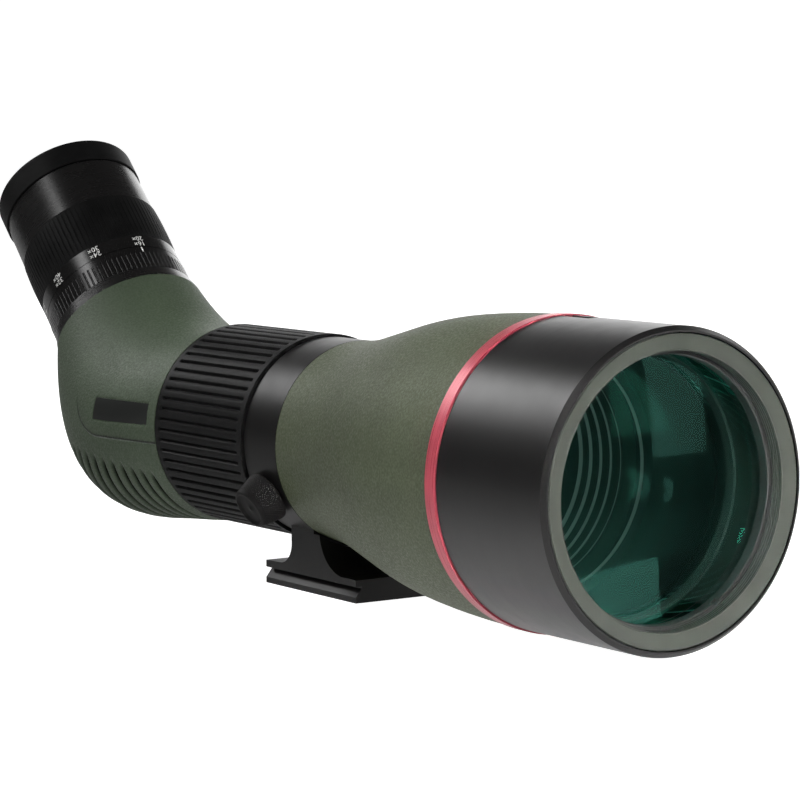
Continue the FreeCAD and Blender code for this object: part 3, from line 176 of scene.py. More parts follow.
class Paint:
    """Builder for one procedural material on a Principled shader."""

    def __init__(self, name, colour, roughness, metallic=0.0, tilt=0.0):
        """Start with plain values, and with object coordinates turned about Y by the tilt."""
        self.material = bpy.data.materials.new(name)
        self.material.use_nodes = True
        self.tree = self.material.node_tree
        self.shader = self.tree.nodes["Principled BSDF"]
        self.shader.inputs["Base Color"].default_value = (*colour, 1)
        self.shader.inputs["Roughness"].default_value = roughness
        self.shader.inputs["Metallic"].default_value = metallic
        turn = self.node("ShaderNodeMapping")
        turn.inputs["Rotation"].default_value = (0, tilt, 0)
        self.link(self.node("ShaderNodeTexCoord").outputs["Object"], turn.inputs["Vector"])
        self.place = turn.outputs["Vector"]

    def node(self, kind, **settings):
        """New node with some of its properties set."""
        made = self.tree.nodes.new(kind)
        for key, value in settings.items():
            setattr(made, key, value)
        return made

    def link(self, source, target):
        """Join an output to an input."""
        self.tree.links.new(source, target)

    def stretched(self, scale):
        """Object coordinates in mm, divided by a size along each axis."""
        mapping = self.node("ShaderNodeMapping")
        mapping.inputs["Scale"].default_value = [1 / (size * MM) for size in scale]
        self.link(self.place, mapping.inputs["Vector"])
        return mapping.outputs["Vector"]

    def split_mm(self):
        """Node whose outputs are the object coordinates X, Y and Z in mm."""
        split = self.node("ShaderNodeSeparateXYZ")
        self.link(self.stretched((1.0, 1.0, 1.0)), split.inputs[0])
        return split

    def noise(self, size, detail=2.0):
        """Noise whose blobs are about the given size in mm, along each axis if three are given."""
        scale = size if isinstance(size, tuple) else (size,) * 3
        made = self.node("ShaderNodeTexNoise")
        made.inputs["Scale"].default_value = 1.0
        made.inputs["Detail"].default_value = detail
        self.link(self.stretched(scale), made.inputs["Vector"])
        return made.outputs["Fac"]

    def cells(self, size):
        """Distance to the middle of the nearest of many small cells."""
        made = self.node("ShaderNodeTexVoronoi")
        made.inputs["Scale"].default_value = 1.0
        self.link(self.stretched((size,) * 3), made.inputs["Vector"])
        return made.outputs["Distance"]

    def sums(self, operation, first, second):
        """Arithmetic on two outputs or numbers."""
        made = self.node("ShaderNodeMath", operation=operation)
        for socket, value in zip(made.inputs, (first, second)):
            if isinstance(value, (int, float)):
                socket.default_value = value
            else:
                self.link(value, socket)
        return made.outputs[0]

    def rescale(self, value, low, high, to_low, to_high):
        """Clamped linear change of range."""
        made = self.node("ShaderNodeMapRange")
        self.link(value, made.inputs["Value"])
        for socket, number in zip(list(made.inputs)[1:5], (low, high, to_low, to_high)):
            socket.default_value = number
        return made.outputs["Result"]

    def blend(self, factor, first, second):
        """Mix of two colours, each a colour or an output."""
        made = self.node("ShaderNodeMix", data_type="RGBA")
        self.link(factor, made.inputs["Factor"])
        for socket, colour in ((made.inputs[6], first), (made.inputs[7], second)):
            if isinstance(colour, tuple):
                socket.default_value = (*colour, 1)
            else:
                self.link(colour, socket)
        return made.outputs[2]

    def set_colour(self, output):
        """Let an output drive the base colour."""
        self.link(output, self.shader.inputs["Base Color"])

    def set_roughness(self, output):
        """Let an output drive the roughness."""
        self.link(output, self.shader.inputs["Roughness"])

    def add_bump(self, height, depth, previous=None):
        """Bump of the given depth in mm, after an earlier bump if there is one."""
        made = self.node("ShaderNodeBump")
        made.inputs["Strength"].default_value = 1.0
        made.inputs["Distance"].default_value = depth * MM
        self.link(height, made.inputs["Height"])
        if previous is not None:
            self.link(previous, made.inputs["Normal"])
        self.link(made.outputs["Normal"], self.shader.inputs["Normal"])
        return made.outputs["Normal"]


def shade(colour, factor):
    """A colour made lighter or darker."""
    return tuple(channel * factor for channel in colour)


# Parting line of the housing's armour, in mm: where its level run ends, its height, the radius of
# its curl, its half width, and the heights from the curl's centre between which it fades.
SEAM_X = -112.0
SEAM_Z = 45.5
SEAM_BEND = 17.0
SEAM_HALF_WIDTH = 0.6
SEAM_FADE_START = -9.0
SEAM_FADE_END = -2.0


def seam_line(paint):
    """One on the thin parting line of the housing's armour, zero elsewhere.

    The line runs level towards the rear, then curls up round a quarter circle and fades.
    """
    split = paint.split_mm()
    behind = paint.sums("MINIMUM", paint.sums("SUBTRACT", split.outputs["X"], SEAM_X), 0.0)
    rise = paint.sums("SUBTRACT", split.outputs["Z"], SEAM_Z + SEAM_BEND)
    squares = paint.sums("ADD", paint.sums("POWER", behind, 2.0), paint.sums("POWER", rise, 2.0))
    beyond = paint.sums("SUBTRACT", paint.sums("SQRT", squares, 0.0), SEAM_BEND)
    away = paint.sums("ABSOLUTE", beyond, 0.0)
    line = paint.rescale(away, SEAM_HALF_WIDTH * 0.3, SEAM_HALF_WIDTH, 1, 0)
    fade = paint.rescale(rise, SEAM_FADE_START, SEAM_FADE_END, 1, 0)
    return paint.sums("MULTIPLY", line, fade)


def armour_rubber(name, green, with_seam):
    """Soft rubber: fine pebbled grain, slightly mottled, with glints on the grain's tops."""
    paint = Paint(name, green, 0.6)
    grain = paint.noise(0.7, 0.5)
    pebbles = paint.cells(0.8)
    mottle = paint.noise(14.0, 2.0)
    wide = paint.blend(paint.rescale(mottle, 0.3, 0.7, 0, 1), shade(green, 0.9), shade(green, 1.12))
    fine = paint.blend(paint.rescale(grain, 0.3, 0.72, 0, 1), shade(green, 0.84), shade(green, 1.16))
    colour = paint.blend(paint.rescale(grain, 0, 1, 0.35, 0.65), wide, fine)
    paint.set_roughness(paint.rescale(grain, 0.35, 0.7, 0.68, 0.46))
    bump = paint.add_bump(grain, 0.08, paint.add_bump(pebbles, 0.07))
    paint.shader.inputs["Specular IOR Level"].default_value = 0.4
    if with_seam:
        seam = seam_line(paint)
        # The grooves' colour is darkened almost to black by their depth, a painted shade for the shade
        # that falls in them; their specular is lowered too.
        groove_shade = paint.node("ShaderNodeAttribute", attribute_name="groove").outputs["Fac"]
        colour = paint.blend(paint.rescale(groove_shade, 0.04, 0.6, 0, 1), colour, shade(green, 0.05))
        gloss = paint.rescale(groove_shade, 0.04, 0.6, 0.4, 0.01)
        paint.link(gloss, paint.shader.inputs["Specular IOR Level"])
        colour = paint.blend(seam, colour, shade(green, 0.2))
        paint.add_bump(paint.sums("SUBTRACT", 1.0, seam), 0.4, bump)
    paint.set_colour(colour)
    return paint.material


def satin_black(name, roughness=0.34, tilt=0.0, gloss=0.42):
    """Satin black anodising: turning marks round the piece, fine grain and faint handling smudges."""
    black = (0.0054, 0.0050, 0.0049)
    paint = Paint(name, black, roughness, tilt=tilt)
    marks = paint.noise((0.6, 60.0, 60.0), 1.0)
    grain = paint.noise(0.3, 1.0)
    cloud = paint.noise(22.0, 2.0)
    smudge = paint.noise(7.0, 3.0)
    clouded = paint.rescale(cloud, 0.3, 0.7, 0, 1)
    paint.set_colour(paint.blend(clouded, shade(black, 0.85), shade(black, 1.2)))
    mixed = paint.sums("ADD", paint.rescale(smudge, 0.35, 0.75, -0.01, 0.025),
                       paint.rescale(marks, 0.3, 0.7, roughness - 0.01, roughness + 0.01))
    paint.set_roughness(mixed)
    paint.shader.inputs["Specular IOR Level"].default_value = gloss
    paint.add_bump(grain, 0.0008, paint.add_bump(marks, 0.0001))
    return paint.material


def barrel_place(paint):
    """Outputs for the station along the optical axis and the radius about it, in mm."""
    split = paint.split_mm()
    rise = paint.sums("SUBTRACT", split.outputs["Z"], BARREL.translation.z / MM)
    across = paint.sums("POWER", split.outputs["Y"], 2.0)
    squares = paint.sums("ADD", across, paint.sums("POWER", rise, 2.0))
    return split.outputs["X"], paint.sums("SQRT", squares, 0.0)


# Painted highlight on the inside's edges, for the light they catch: colour, width in mm and glow.
EDGE_HIGHLIGHT = (0.55, 0.56, 0.55)
EDGE_HIGHLIGHT_WIDTH = 0.15
EDGE_HIGHLIGHT_GLOW = 0.05


def inside_black(name, edge_radius, black):
    """Matt black for the barrel's inside, with a painted highlight and glow on its edges nearest the axis.
    """
    paint = Paint(name, black, 0.45)
    _, radius = barrel_place(paint)
    edge = paint.rescale(radius, edge_radius, edge_radius + EDGE_HIGHLIGHT_WIDTH, 1, 0)
    grain = paint.noise(0.8, 2.0)
    matt = paint.blend(grain, shade(black, 0.8), shade(black, 1.2))
    # The edges nearest the axis are painted bright and made to glow, a painted highlight for the light
    # they catch.
    paint.set_colour(paint.blend(edge, matt, EDGE_HIGHLIGHT))
    paint.shader.inputs["Emission Color"].default_value = (0.9, 1.0, 0.97, 1)
    paint.link(paint.sums("MULTIPLY", edge, EDGE_HIGHLIGHT_GLOW), paint.shader.inputs["Emission Strength"])
    paint.add_bump(grain, 0.01)
    return paint.material


def grip_rubber():
    """Matt black moulded rubber with a dusty bloom in its fine grain."""
    black = (0.0052, 0.0052, 0.0053)
    paint = Paint("grip_rubber", black, 0.5)
    grain = paint.noise(0.35, 2.0)
    cloud = paint.noise(9.0, 3.0)
    bloom = paint.rescale(cloud, 0.35, 0.75, 0, 1)
    paint.set_colour(paint.blend(bloom, shade(black, 0.8), shade(black, 1.6)))
    paint.set_roughness(paint.rescale(grain, 0.3, 0.7, 0.44, 0.6))
    paint.shader.inputs["Specular IOR Level"].default_value = 0.11
    paint.add_bump(grain, 0.03)
    return paint.material


def red_anodised():
    """Red anodised aluminium with turning marks."""
    red = (0.42, 0.06, 0.085)
    paint = Paint("red_anodised", red, 0.3, 0.15)
    marks = paint.noise((0.12, 20.0, 20.0), 1.0)
    paint.set_colour(paint.blend(paint.rescale(marks, 0.3, 0.7, 0, 1), shade(red, 0.85), shade(red, 1.15)))
    paint.set_roughness(paint.rescale(marks, 0.3, 0.7, 0.26, 0.38))
    paint.add_bump(marks, 0.004)
    return paint.material


# Filter thread: radius inside which the bore is threaded, and pitch, in mm.
THREAD_RADIUS = 42.45
THREAD_PITCH = 1.0


def bezel_metal():
    """Grey-green satin bezel, with the turns of the filter thread in its bore."""
    grey = (0.054, 0.060, 0.050)
    paint = Paint("bezel_metal", grey, 0.42, 0.1)
    station, radius = barrel_place(paint)
    in_bore = paint.rescale(radius, THREAD_RADIUS + 0.2, THREAD_RADIUS + 0.4, 1, 0)
    turns = paint.sums("SINE", paint.sums("MULTIPLY", station, 2 * math.pi / THREAD_PITCH), 0.0)
    grain = paint.noise(0.3, 2.0)
    cloud = paint.noise(10.0, 2.0)
    paint.set_colour(paint.blend(paint.rescale(cloud, 0.3, 0.7, 0, 1), shade(grey, 0.9), shade(grey, 1.1)))
    paint.set_roughness(paint.rescale(grain, 0.3, 0.7, 0.38, 0.5))
    paint.shader.inputs["Specular IOR Level"].default_value = 0.35
    thread = paint.add_bump(paint.sums("MULTIPLY", turns, in_bore), 0.2)
    paint.add_bump(grain, 0.006, thread)
    return paint.material


def turned_steel():
    """Bright turned steel."""
    grey = (0.55, 0.55, 0.56)
    paint = Paint("steel", grey, 0.3, 1.0)
    marks = paint.noise((0.2, 8.0, 8.0), 1.0)
    paint.set_colour(paint.blend(marks, shade(grey, 0.8), grey))
    paint.set_roughness(paint.rescale(marks, 0.3, 0.7, 0.3, 0.42))
    paint.add_bump(marks, 0.003)
    return paint.material


def speckled(name, colour, roughness, size, depth):
    """Simple moulded or painted surface with fine grain."""
    paint = Paint(name, colour, roughness)
    grain = paint.noise(size, 2.0)
    paint.set_colour(paint.blend(grain, shade(colour, 0.75), shade(colour, 1.2)))
    paint.set_roughness(paint.rescale(grain, 0.3, 0.7, roughness - 0.05, roughness + 0.08))
    paint.add_bump(grain, depth)
    return paint.material


def coated_glass(name, coating, mirror, clear):
    """Lens glass seen through, with a coloured anti-reflection coating over it."""
    material = bpy.data.materials.new(name)
    material.use_nodes = True
    tree = material.node_tree
    tree.nodes.clear()
    output = tree.nodes.new("ShaderNodeOutputMaterial")
    through = tree.nodes.new("ShaderNodeBsdfTransparent")
    through.inputs["Color"].default_value = (*clear, 1)
    gloss = tree.nodes.new("ShaderNodeBsdfGlossy")
    gloss.inputs["Color"].default_value = (*coating, 1)
    gloss.inputs["Roughness"].default_value = 0.015
    facing = tree.nodes.new("ShaderNodeLayerWeight")
    facing.inputs["Blend"].default_value = 0.1
    share = tree.nodes.new("ShaderNodeMapRange")
    share.inputs["To Min"].default_value = mirror
    share.inputs["To Max"].default_value = 1.0
    mix = tree.nodes.new("ShaderNodeMixShader")
    tree.links.new(facing.outputs["Fresnel"], share.inputs["Value"])
    tree.links.new(share.outputs["Result"], mix.inputs["Fac"])
    tree.links.new(through.outputs[0], mix.inputs[1])
    tree.links.new(gloss.outputs[0], mix.inputs[2])
    tree.links.new(mix.outputs[0], output.inputs["Surface"])
    return material


# ---------------------------------------------------------------- rubber armour of the prism housing

# The same sections as the CAD: angle round the bend, then reach from the pivot, half height and
# half width of the oval, in mm.
BEND_ANGLES = (0.0, 11.25, 22.5, 33.75, 45.0)
BEND_REACH = (110.8, 115.6, 121.4, 119.5, 113.7)
BEND_HEIGHT = (36.0, 36.8, 39.5, 35.7, 29.9)
BEND_WIDTH = (36.0, 39.2, 40.8, 36.9, 29.9)
PIVOT_RISE = 110.8
ARMOUR_WALL = 2.45
ARMOUR_POINTS_AROUND = 320
ARMOUR_POINTS_OUTSIDE = 264
ARMOUR_POINTS_INSIDE = 24
# Grip grooves: how many, the first one's angle and their pitch in degrees, then in mm their depth, half
# width, the height of the front and rear ones' upper ends from the optical axis, and their fade there.
RIB_COUNT = 11
RIB_START = 3.6
RIB_PITCH = 2.4
RIB_DEPTH = 1.85
RIB_HALF_WIDTH = 0.95
RIB_TOP_FRONT = -15.5
RIB_TOP_REAR = -9.0
RIB_FADE = 7.0
# Seat of the badge: its depth and its margin round the badge, in mm.
BADGE_DROP = 0.35
BADGE_MARGIN = 0.25


def natural_spline(values, knots):
    """Natural cubic spline through values at even knots, as a function of the knot's variable."""
    pitch = knots[1] - knots[0]
    count = len(values)
    matrix = np.eye(count)
    rhs = np.zeros(count)
    for row in range(1, count - 1):
        matrix[row, row - 1:row + 2] = (1, 4, 1)
        rhs[row] = 6 * (values[row - 1] - 2 * values[row] + values[row + 1]) / pitch ** 2
    bends = np.linalg.solve(matrix, rhs)

    def value_at(place):
        """Value of the curve at a place between the first and last knots."""
        index = min(max(int((place - knots[0]) / pitch), 0), count - 2)
        after = (place - knots[index]) / pitch
        before = 1 - after
        curve = (before ** 3 - before) * bends[index] + (after ** 3 - after) * bends[index + 1]
        return before * values[index] + after * values[index + 1] + curve * pitch ** 2 / 6

    return value_at


REACH_AT = natural_spline(BEND_REACH, BEND_ANGLES)
HEIGHT_AT = natural_spline(BEND_HEIGHT, BEND_ANGLES)
WIDTH_AT = natural_spline(BEND_WIDTH, BEND_ANGLES)


def housing_point(angle, turn, inset, axis_z, pivot_x):
    """Point of the housing's skin in mm, and its outward direction in the section's plane."""
    bend = math.radians(angle)
    outward = Vector((-math.sin(bend), 0, -math.cos(bend)))
    sideways = Vector((0, 1, 0))
    height = HEIGHT_AT(angle)
    width = WIDTH_AT(angle)
    centre = Vector((pivot_x, 0, axis_z + PIVOT_RISE)) + outward * REACH_AT(angle)
    normal = (outward * (math.cos(turn) / height) + sideways * (math.sin(turn) / width)).normalized()
    point = centre + outward * height * math.cos(turn) + sideways * width * math.sin(turn)
    return point - normal * inset, normal


def rib_dip(angle, point, axis_z, pivot_x):
    """Depth of the grip grooves at a point: rounded grooves whose upper ends fade out."""
    radius = math.hypot(point.x - pivot_x, point.z - axis_z - PIVOT_RISE)
    rear_share = (angle - RIB_START) / (RIB_PITCH * (RIB_COUNT - 1))
    top = RIB_TOP_FRONT + (RIB_TOP_REAR - RIB_TOP_FRONT) * rear_share
    fade = smooth_step((top - (point.z - axis_z)) / RIB_FADE)
    if fade == 0:
        return 0.0
    number = min(max(round((angle - RIB_START) / RIB_PITCH), 0), RIB_COUNT - 1)
    away = math.radians(angle - RIB_START - RIB_PITCH * number) * radius
    return RIB_DEPTH * fade * math.exp(-(away / RIB_HALF_WIDTH) ** 2)


def badge_dip(point, badge_low, badge_high):
    """Shallow seat for the badge on the right-hand side."""
    if point.y > 0:
        return 0.0
    inside = min(
        point.x - badge_low.x + BADGE_MARGIN,
        badge_high.x + BADGE_MARGIN - point.x,
        point.z - badge_low.z + BADGE_MARGIN,
        badge_high.z + BADGE_MARGIN - point.z,
    )
    return BADGE_DROP * smooth_step(inside / BADGE_MARGIN)


def make_housing_armour(material):
    """Moulded armour of the bend, with soft grip grooves under it and a seat for the badge."""
    axis_z = BARREL.translation.z / MM
    pivot_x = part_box("rear_armour")[1].x / MM
    badge_low, badge_high = (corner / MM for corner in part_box("badge_plate"))
    outer = steps(BEND_ANGLES[0], BEND_ANGLES[-1], ARMOUR_POINTS_OUTSIDE)
    inner = steps(BEND_ANGLES[-1], BEND_ANGLES[0], ARMOUR_POINTS_INSIDE)
    points = []
    groove_shade = []
    for turn_number in range(ARMOUR_POINTS_AROUND):
        turn = 2 * math.pi * turn_number / ARMOUR_POINTS_AROUND
        for angle in outer:
            point, normal = housing_point(angle, turn, 0.0, axis_z, pivot_x)
            groove = rib_dip(angle, point, axis_z, pivot_x)
            points.append((point - normal * (groove + badge_dip(point, badge_low, badge_high))) * MM)
            groove_shade.append(groove / RIB_DEPTH)
        for angle in inner:
            point, _ = housing_point(angle, turn, ARMOUR_WALL, axis_z, pivot_x)
            points.append(point * MM)
            groove_shade.append(0.0)
    faces = grid_faces(ARMOUR_POINTS_AROUND, len(outer) + len(inner))
    item = new_mesh_object("housing_armour", points, faces)
    # Each point keeps its groove depth, which paints shade into the grooves.
    item.data.attributes.new("groove", "FLOAT", "POINT").data.foreach_set("value", groove_shade)
    stand_in(item, "rear_armour", material)


# ---------------------------------------------------------------- focusing ring

# Ribs round the ring, and in mm: groove depth and half width, how far a rib's sides fall below its
# crown, plain rim at each end, length over which a groove fades at the rim, and edge chamfer.
FOCUS_RIBS = 60
FOCUS_GROOVE = 0.95
FOCUS_GROOVE_HALF = 0.52
FOCUS_CROWN = 0.18
FOCUS_RIM = 2.4
FOCUS_FADE = 1.2
FOCUS_EDGE = 0.22
FOCUS_POINTS_PER_RIB = 14
FADE_STATIONS = 7
MIDDLE_STATIONS = 6
MIDDLE_MARGIN = 6


def make_focus_grip(material):
    """Focusing ring with rounded ribs between dark grooves that end short of plain rims."""
    rear, front, bore, radius = span("focus_grip", BARREL)

    def rib(station, angle):
        """Radius change over one rib and groove, faded out at both rims."""
        share = angle * FOCUS_RIBS / (2 * math.pi)
        offset = abs(share - round(share)) * 2 * math.pi * radius / FOCUS_RIBS
        half_pitch = math.pi * radius / FOCUS_RIBS
        groove = math.exp(-(offset / FOCUS_GROOVE_HALF) ** 4)
        crown = FOCUS_CROWN * (offset / half_pitch - 1) ** 2
        inside = min(station - rear, front - station) - FOCUS_RIM
        end = smooth_step(inside / FOCUS_FADE)
        return -(FOCUS_GROOVE * groove + crown) * end

    fade_start = FOCUS_RIM - 0.1
    fade_end = FOCUS_RIM + FOCUS_FADE + 0.3
    ribbed = (
        steps(rear + fade_start, rear + fade_end, FADE_STATIONS)
        + steps(rear + MIDDLE_MARGIN, front - MIDDLE_MARGIN, MIDDLE_STATIONS)
        + steps(front - fade_end, front - fade_start, FADE_STATIONS)
    )
    loop = (
        [(rear, radius - FOCUS_EDGE), (rear + FOCUS_EDGE, radius)]
        + [(station, radius, True) for station in ribbed]
        + [(front - FOCUS_EDGE, radius), (front, radius - FOCUS_EDGE)]
        + [(front, bore), (rear, bore)]
    )
    item = turned_piece("focus_ring_grip", BARREL, loop, FOCUS_RIBS * FOCUS_POINTS_PER_RIB, rib)
    stand_in(item, "focus_grip", material)


# ---------------------------------------------------------------- clamp knob

# Waves of the ridges round the knob and half waves along it, and in mm: ridge height, and how much
# smaller the knob's end radius is than its base. KNURL_FADE is the share over which the ridges fade.
KNURL_COUNT = 60
KNURL_ROWS = 10
KNURL_HEIGHT = 0.09
KNOB_TAPER = 2.15
KNURL_FADE = 0.06
KNURL_STATIONS = 40
POINTS_PER_RIDGE = 6


def make_clamp_knob(material):
    """Tapered knob with a diamond knurl, rounded rims and a dished end."""
    base, end, _, base_radius = span("lock_knob", KNOB)
    end_radius = base_radius - KNOB_TAPER
    knurl_start = base + 1.0
    knurl_end = end - 1.1

    def taper(station):
        """Radius of the knob's cone at a station."""
        return base_radius + (end_radius - base_radius) * (station - base) / (end - base)

    def knurl(station, angle):
        """Height of crossed spiral ridges, faded out at both ends."""
        share = (station - knurl_start) / (knurl_end - knurl_start)
        left = math.cos(KNURL_COUNT * angle + math.pi * KNURL_ROWS * share)
        right = math.cos(KNURL_COUNT * angle - math.pi * KNURL_ROWS * share)
        fade = smooth_step(share / KNURL_FADE) * smooth_step((1 - share) / KNURL_FADE)
        return KNURL_HEIGHT * fade * (0.5 * (left + right) - 0.8)

    foot = [(base, 2.6), (base, base_radius - 1.0), (base + 0.3, base_radius - 0.4)]
    neck = [(base + 0.8, taper(base + 0.8) - 0.12)]
    stations = steps(knurl_start, knurl_end, KNURL_STATIONS)
    side = [(station, taper(station) - 0.1, True) for station in stations]
    rim = [(end - 0.7, end_radius), (end - 0.25, end_radius - 0.2), (end, end_radius - 0.7)]
    dish = [(end - 0.05, end_radius - 1.1), (end - 0.7, end_radius - 1.7), (end - 0.9, end_radius - 2.6)]
    middle = [(end - 0.95, 1.2), (end - 0.8, 0.9), (end - 0.6, 0.02)]
    bore = [(end - 2.4, 0.02), (end - 2.4, 2.4)]
    loop = foot + neck + side + rim + dish + middle + bore
    item = turned_piece("clamp_knob", KNOB, loop, KNURL_COUNT * POINTS_PER_RIDGE, knurl)
    stand_in(item, "lock_knob", material)


# ---------------------------------------------------------------- dial

# Two rows of numbers, the first one's place and their pitch in degrees, and in mm: digit height, gap
# between the rows, and how far the print stands off the ring. LETTER_BODY is the font's size for one
# unit of digit height, STROKE_EXTRA thickens the strokes, and CURVE_STEPS smooths them.
DIAL_ROWS = (("16", "24", "32", "40", "48"), ("20", "30", "40", "50", "60"))
DIAL_START = -90.0
DIAL_PITCH = 37.5
DIAL_HEIGHT = 2.15
DIAL_GAP = 0.45
DIAL_RISE = 0.03
LETTER_BODY = 1.4
STROKE_EXTRA = 0.03
CURVE_STEPS = 4


def flat_text(text, height):
    """Mesh of a word, centred, lying in the XY plane, in mm."""
    curve = bpy.data.curves.new("dial_word", "FONT")
    curve.body = text
    curve.size = height * LETTER_BODY
    curve.align_x = "CENTER"
    curve.align_y = "CENTER"
    curve.offset = STROKE_EXTRA
    curve.resolution_u = CURVE_STEPS
    holder = bpy.data.objects.new("dial_word", curve)
    bpy.context.scene.collection.objects.link(holder)
    bpy.context.view_layer.update()
    mesh = bpy.data.meshes.new_from_object(holder.evaluated_get(bpy.context.evaluated_depsgraph_get()))
    bpy.data.objects.remove(holder)
    return mesh


def make_dial(material):
    """Magnification numbers in two rows round the scale ring, their tops towards the housing."""
    low, high, _, radius = span("scale_ring", EYEPIECE)
    middle = (low + high) / 2
    points = []
    faces = []
    for row, words in enumerate(DIAL_ROWS):
        station = middle + (row - 0.5) * (DIAL_HEIGHT + DIAL_GAP)
        for number, word in enumerate(words):
            centre = math.radians(DIAL_START - DIAL_PITCH * number)
            mesh = flat_text(word + "×", DIAL_HEIGHT)
            first = len(points)
            for vertex in mesh.vertices:
                angle = centre - vertex.co.x / radius
                reach = radius + DIAL_RISE
                local = Vector((station - vertex.co.y, reach * math.cos(angle), reach * math.sin(angle)))
                points.append(EYEPIECE @ (local * MM))
            faces += [[first + index for index in face.vertices] for face in mesh.polygons]
            bpy.data.meshes.remove(mesh)
    fix_to(new_mesh_object("dial_numbers", points, faces), "scale_ring", material)


# Index mark in mm: half width, margins to the ring's low and high ends, and how far it is sunk into
# the ring and stands off it.
INDEX_HALF_WIDTH = 0.28
INDEX_MARGINS = (0.25, 0.15)
INDEX_SUNK = 0.2
INDEX_RISE = 0.04


def make_index_mark(material):
    """White line on the index ring that the numbers are read against."""
    low, high, _, radius = span("index_ring", EYEPIECE)
    start = low + INDEX_MARGINS[0]
    end = high - INDEX_MARGINS[1]
    centre = math.radians(DIAL_START)
    half = INDEX_HALF_WIDTH / radius
    points = []
    for reach in (radius - INDEX_SUNK, radius + INDEX_RISE):
        for station, angle in ((start, -half), (end, -half), (end, half), (start, half)):
            local = Vector((station, reach * math.cos(centre + angle), reach * math.sin(centre + angle)))
            points.append(EYEPIECE @ (local * MM))
    faces = [(0, 1, 2, 3), (4, 5, 6, 7), (0, 1, 5, 4), (1, 2, 6, 5), (2, 3, 7, 6), (3, 0, 4, 7)]
    fix_to(new_mesh_object("index_mark", points, faces), "index_ring", material)


# ---------------------------------------------------------------- studio and camera

CAMERA_PLACE = (0.87644, -0.58057, 0.16671)
CAMERA_AZIMUTH = math.radians(55.669)
CAMERA_ELEVATION = math.radians(5.483)
CAMERA_ROLL = math.radians(-0.115)
CAMERA_LENS = 138.08
SENSOR = 36.0
CAMERA_SHIFT = (-0.0005, -0.00215)
CLIP_START = 0.01
CLIP_END = 200.0


def make_camera():
    """Camera in front of the object, a little to its right and slightly above it."""
    azimuth, elevation = CAMERA_AZIMUTH, CAMERA_ELEVATION
    back = Vector((math.sin(azimuth) * math.cos(elevation),
                   -math.cos(azimuth) * math.cos(elevation),
                   math.sin(elevation)))
    right = Vector((math.cos(azimuth), math.sin(azimuth), 0))
    up = back.cross(right)
    turned_right = right * math.cos(CAMERA_ROLL) + up * math.sin(CAMERA_ROLL)
    turned_up = up * math.cos(CAMERA_ROLL) - right * math.sin(CAMERA_ROLL)
    data = bpy.data.cameras.new("camera")
    data.lens = CAMERA_LENS
    data.sensor_width = SENSOR
    data.shift_x, data.shift_y = CAMERA_SHIFT
    data.clip_start = CLIP_START
    data.clip_end = CLIP_END
    camera = bpy.data.objects.new("camera", data)
    columns = (turned_right, turned_up, back)
    matrix = Matrix([[column[row] for column in columns] for row in range(3)]).to_4x4()
    matrix.translation = Vector(CAMERA_PLACE)
    camera.matrix_world = matrix
    bpy.context.scene.collection.objects.link(camera)
    bpy.context.scene.camera = camera


def softbox(name, direction, distance, size, power, target=(0.0, 0.0, 0.05)):
    """Large soft light in a direction from the object, aimed at it."""
    data = bpy.data.lights.new(name, "AREA")
    data.shape = "RECTANGLE"
    data.size, data.size_y = size
    data.energy = power
    light = bpy.data.objects.new(name, data)
    away = Vector(direction).normalized()
    light.location = Vector(target) + away * distance
    light.rotation_mode = "QUATERNION"
    light.rotation_quaternion = away.to_track_quat("Z", "Y")
    light.visible_camera = False
    bpy.context.scene.collection.objects.link(light)
    return light


OBJECTIVE = (0.18, 0.0, 0.051)
SEEN_BRIGHTNESS = 1.1
AMBIENT_BRIGHTNESS = 0.06
FRONT_SPREAD = math.radians(7)


def make_studio():
    """Pale surroundings, much dimmer for reflections than for the camera, and soft lights."""
    scene = bpy.context.scene
    scene.view_settings.view_transform = "Standard"
    world = bpy.data.worlds.new("studio")
    scene.world = world
    world.use_nodes = True
    tree = world.node_tree
    tree.nodes.clear()
    output = tree.nodes.new("ShaderNodeOutputWorld")
    seen = tree.nodes.new("ShaderNodeBackground")
    seen.inputs["Color"].default_value = (1, 1, 1, 1)
    seen.inputs["Strength"].default_value = SEEN_BRIGHTNESS
    ambient = tree.nodes.new("ShaderNodeBackground")
    ambient.inputs["Color"].default_value = (1, 1, 1, 1)
    ambient.inputs["Strength"].default_value = AMBIENT_BRIGHTNESS
    rays = tree.nodes.new("ShaderNodeLightPath")
    mix = tree.nodes.new("ShaderNodeMixShader")
    tree.links.new(rays.outputs["Is Camera Ray"], mix.inputs["Fac"])
    tree.links.new(ambient.outputs[0], mix.inputs[1])
    tree.links.new(seen.outputs[0], mix.inputs[2])
    tree.links.new(mix.outputs[0], output.inputs["Surface"])
    # The key light lies where the hood's bright band mirrors, the side light where the eyepiece's does.
    softbox("key", (-0.80, -0.27, 0.52), 1.4, (0.34, 0.5), 4.8)
    softbox("side", (-0.17, -0.72, 0.66), 1.4, (0.36, 0.36), 2.4)
    softbox("edges", (0.49, -0.44, 0.74), 1.4, (0.3, 0.3), 0.9)
    softbox("far_side", (0.15, 0.90, 0.45), 1.5, (0.8, 0.6), 6.0)
    # The top light only brightens matt surfaces: its reflection is hidden.
    top = softbox("top", (-0.15, -0.10, 1.0), 1.4, (0.8, 0.6), 9.6)
    top.visible_glossy = False
    # The backdrop is mirrored in the upper edges of the round parts.
    softbox("backdrop", (-0.80, 0.58, 0.24), 1.6, (1.2, 0.7), 5.5)
    # A narrow beam lights the baffles inside the barrel, and the glint is mirrored in the lenses.
    front = softbox("front", (0.90, -0.30, 0.30), 1.5, (0.2, 0.2), 0.24, OBJECTIVE)
    front.data.spread = FRONT_SPREAD
    softbox("glint", (0.78, 0.62, 0.10), 1.5, (0.3, 0.8), 3.0)


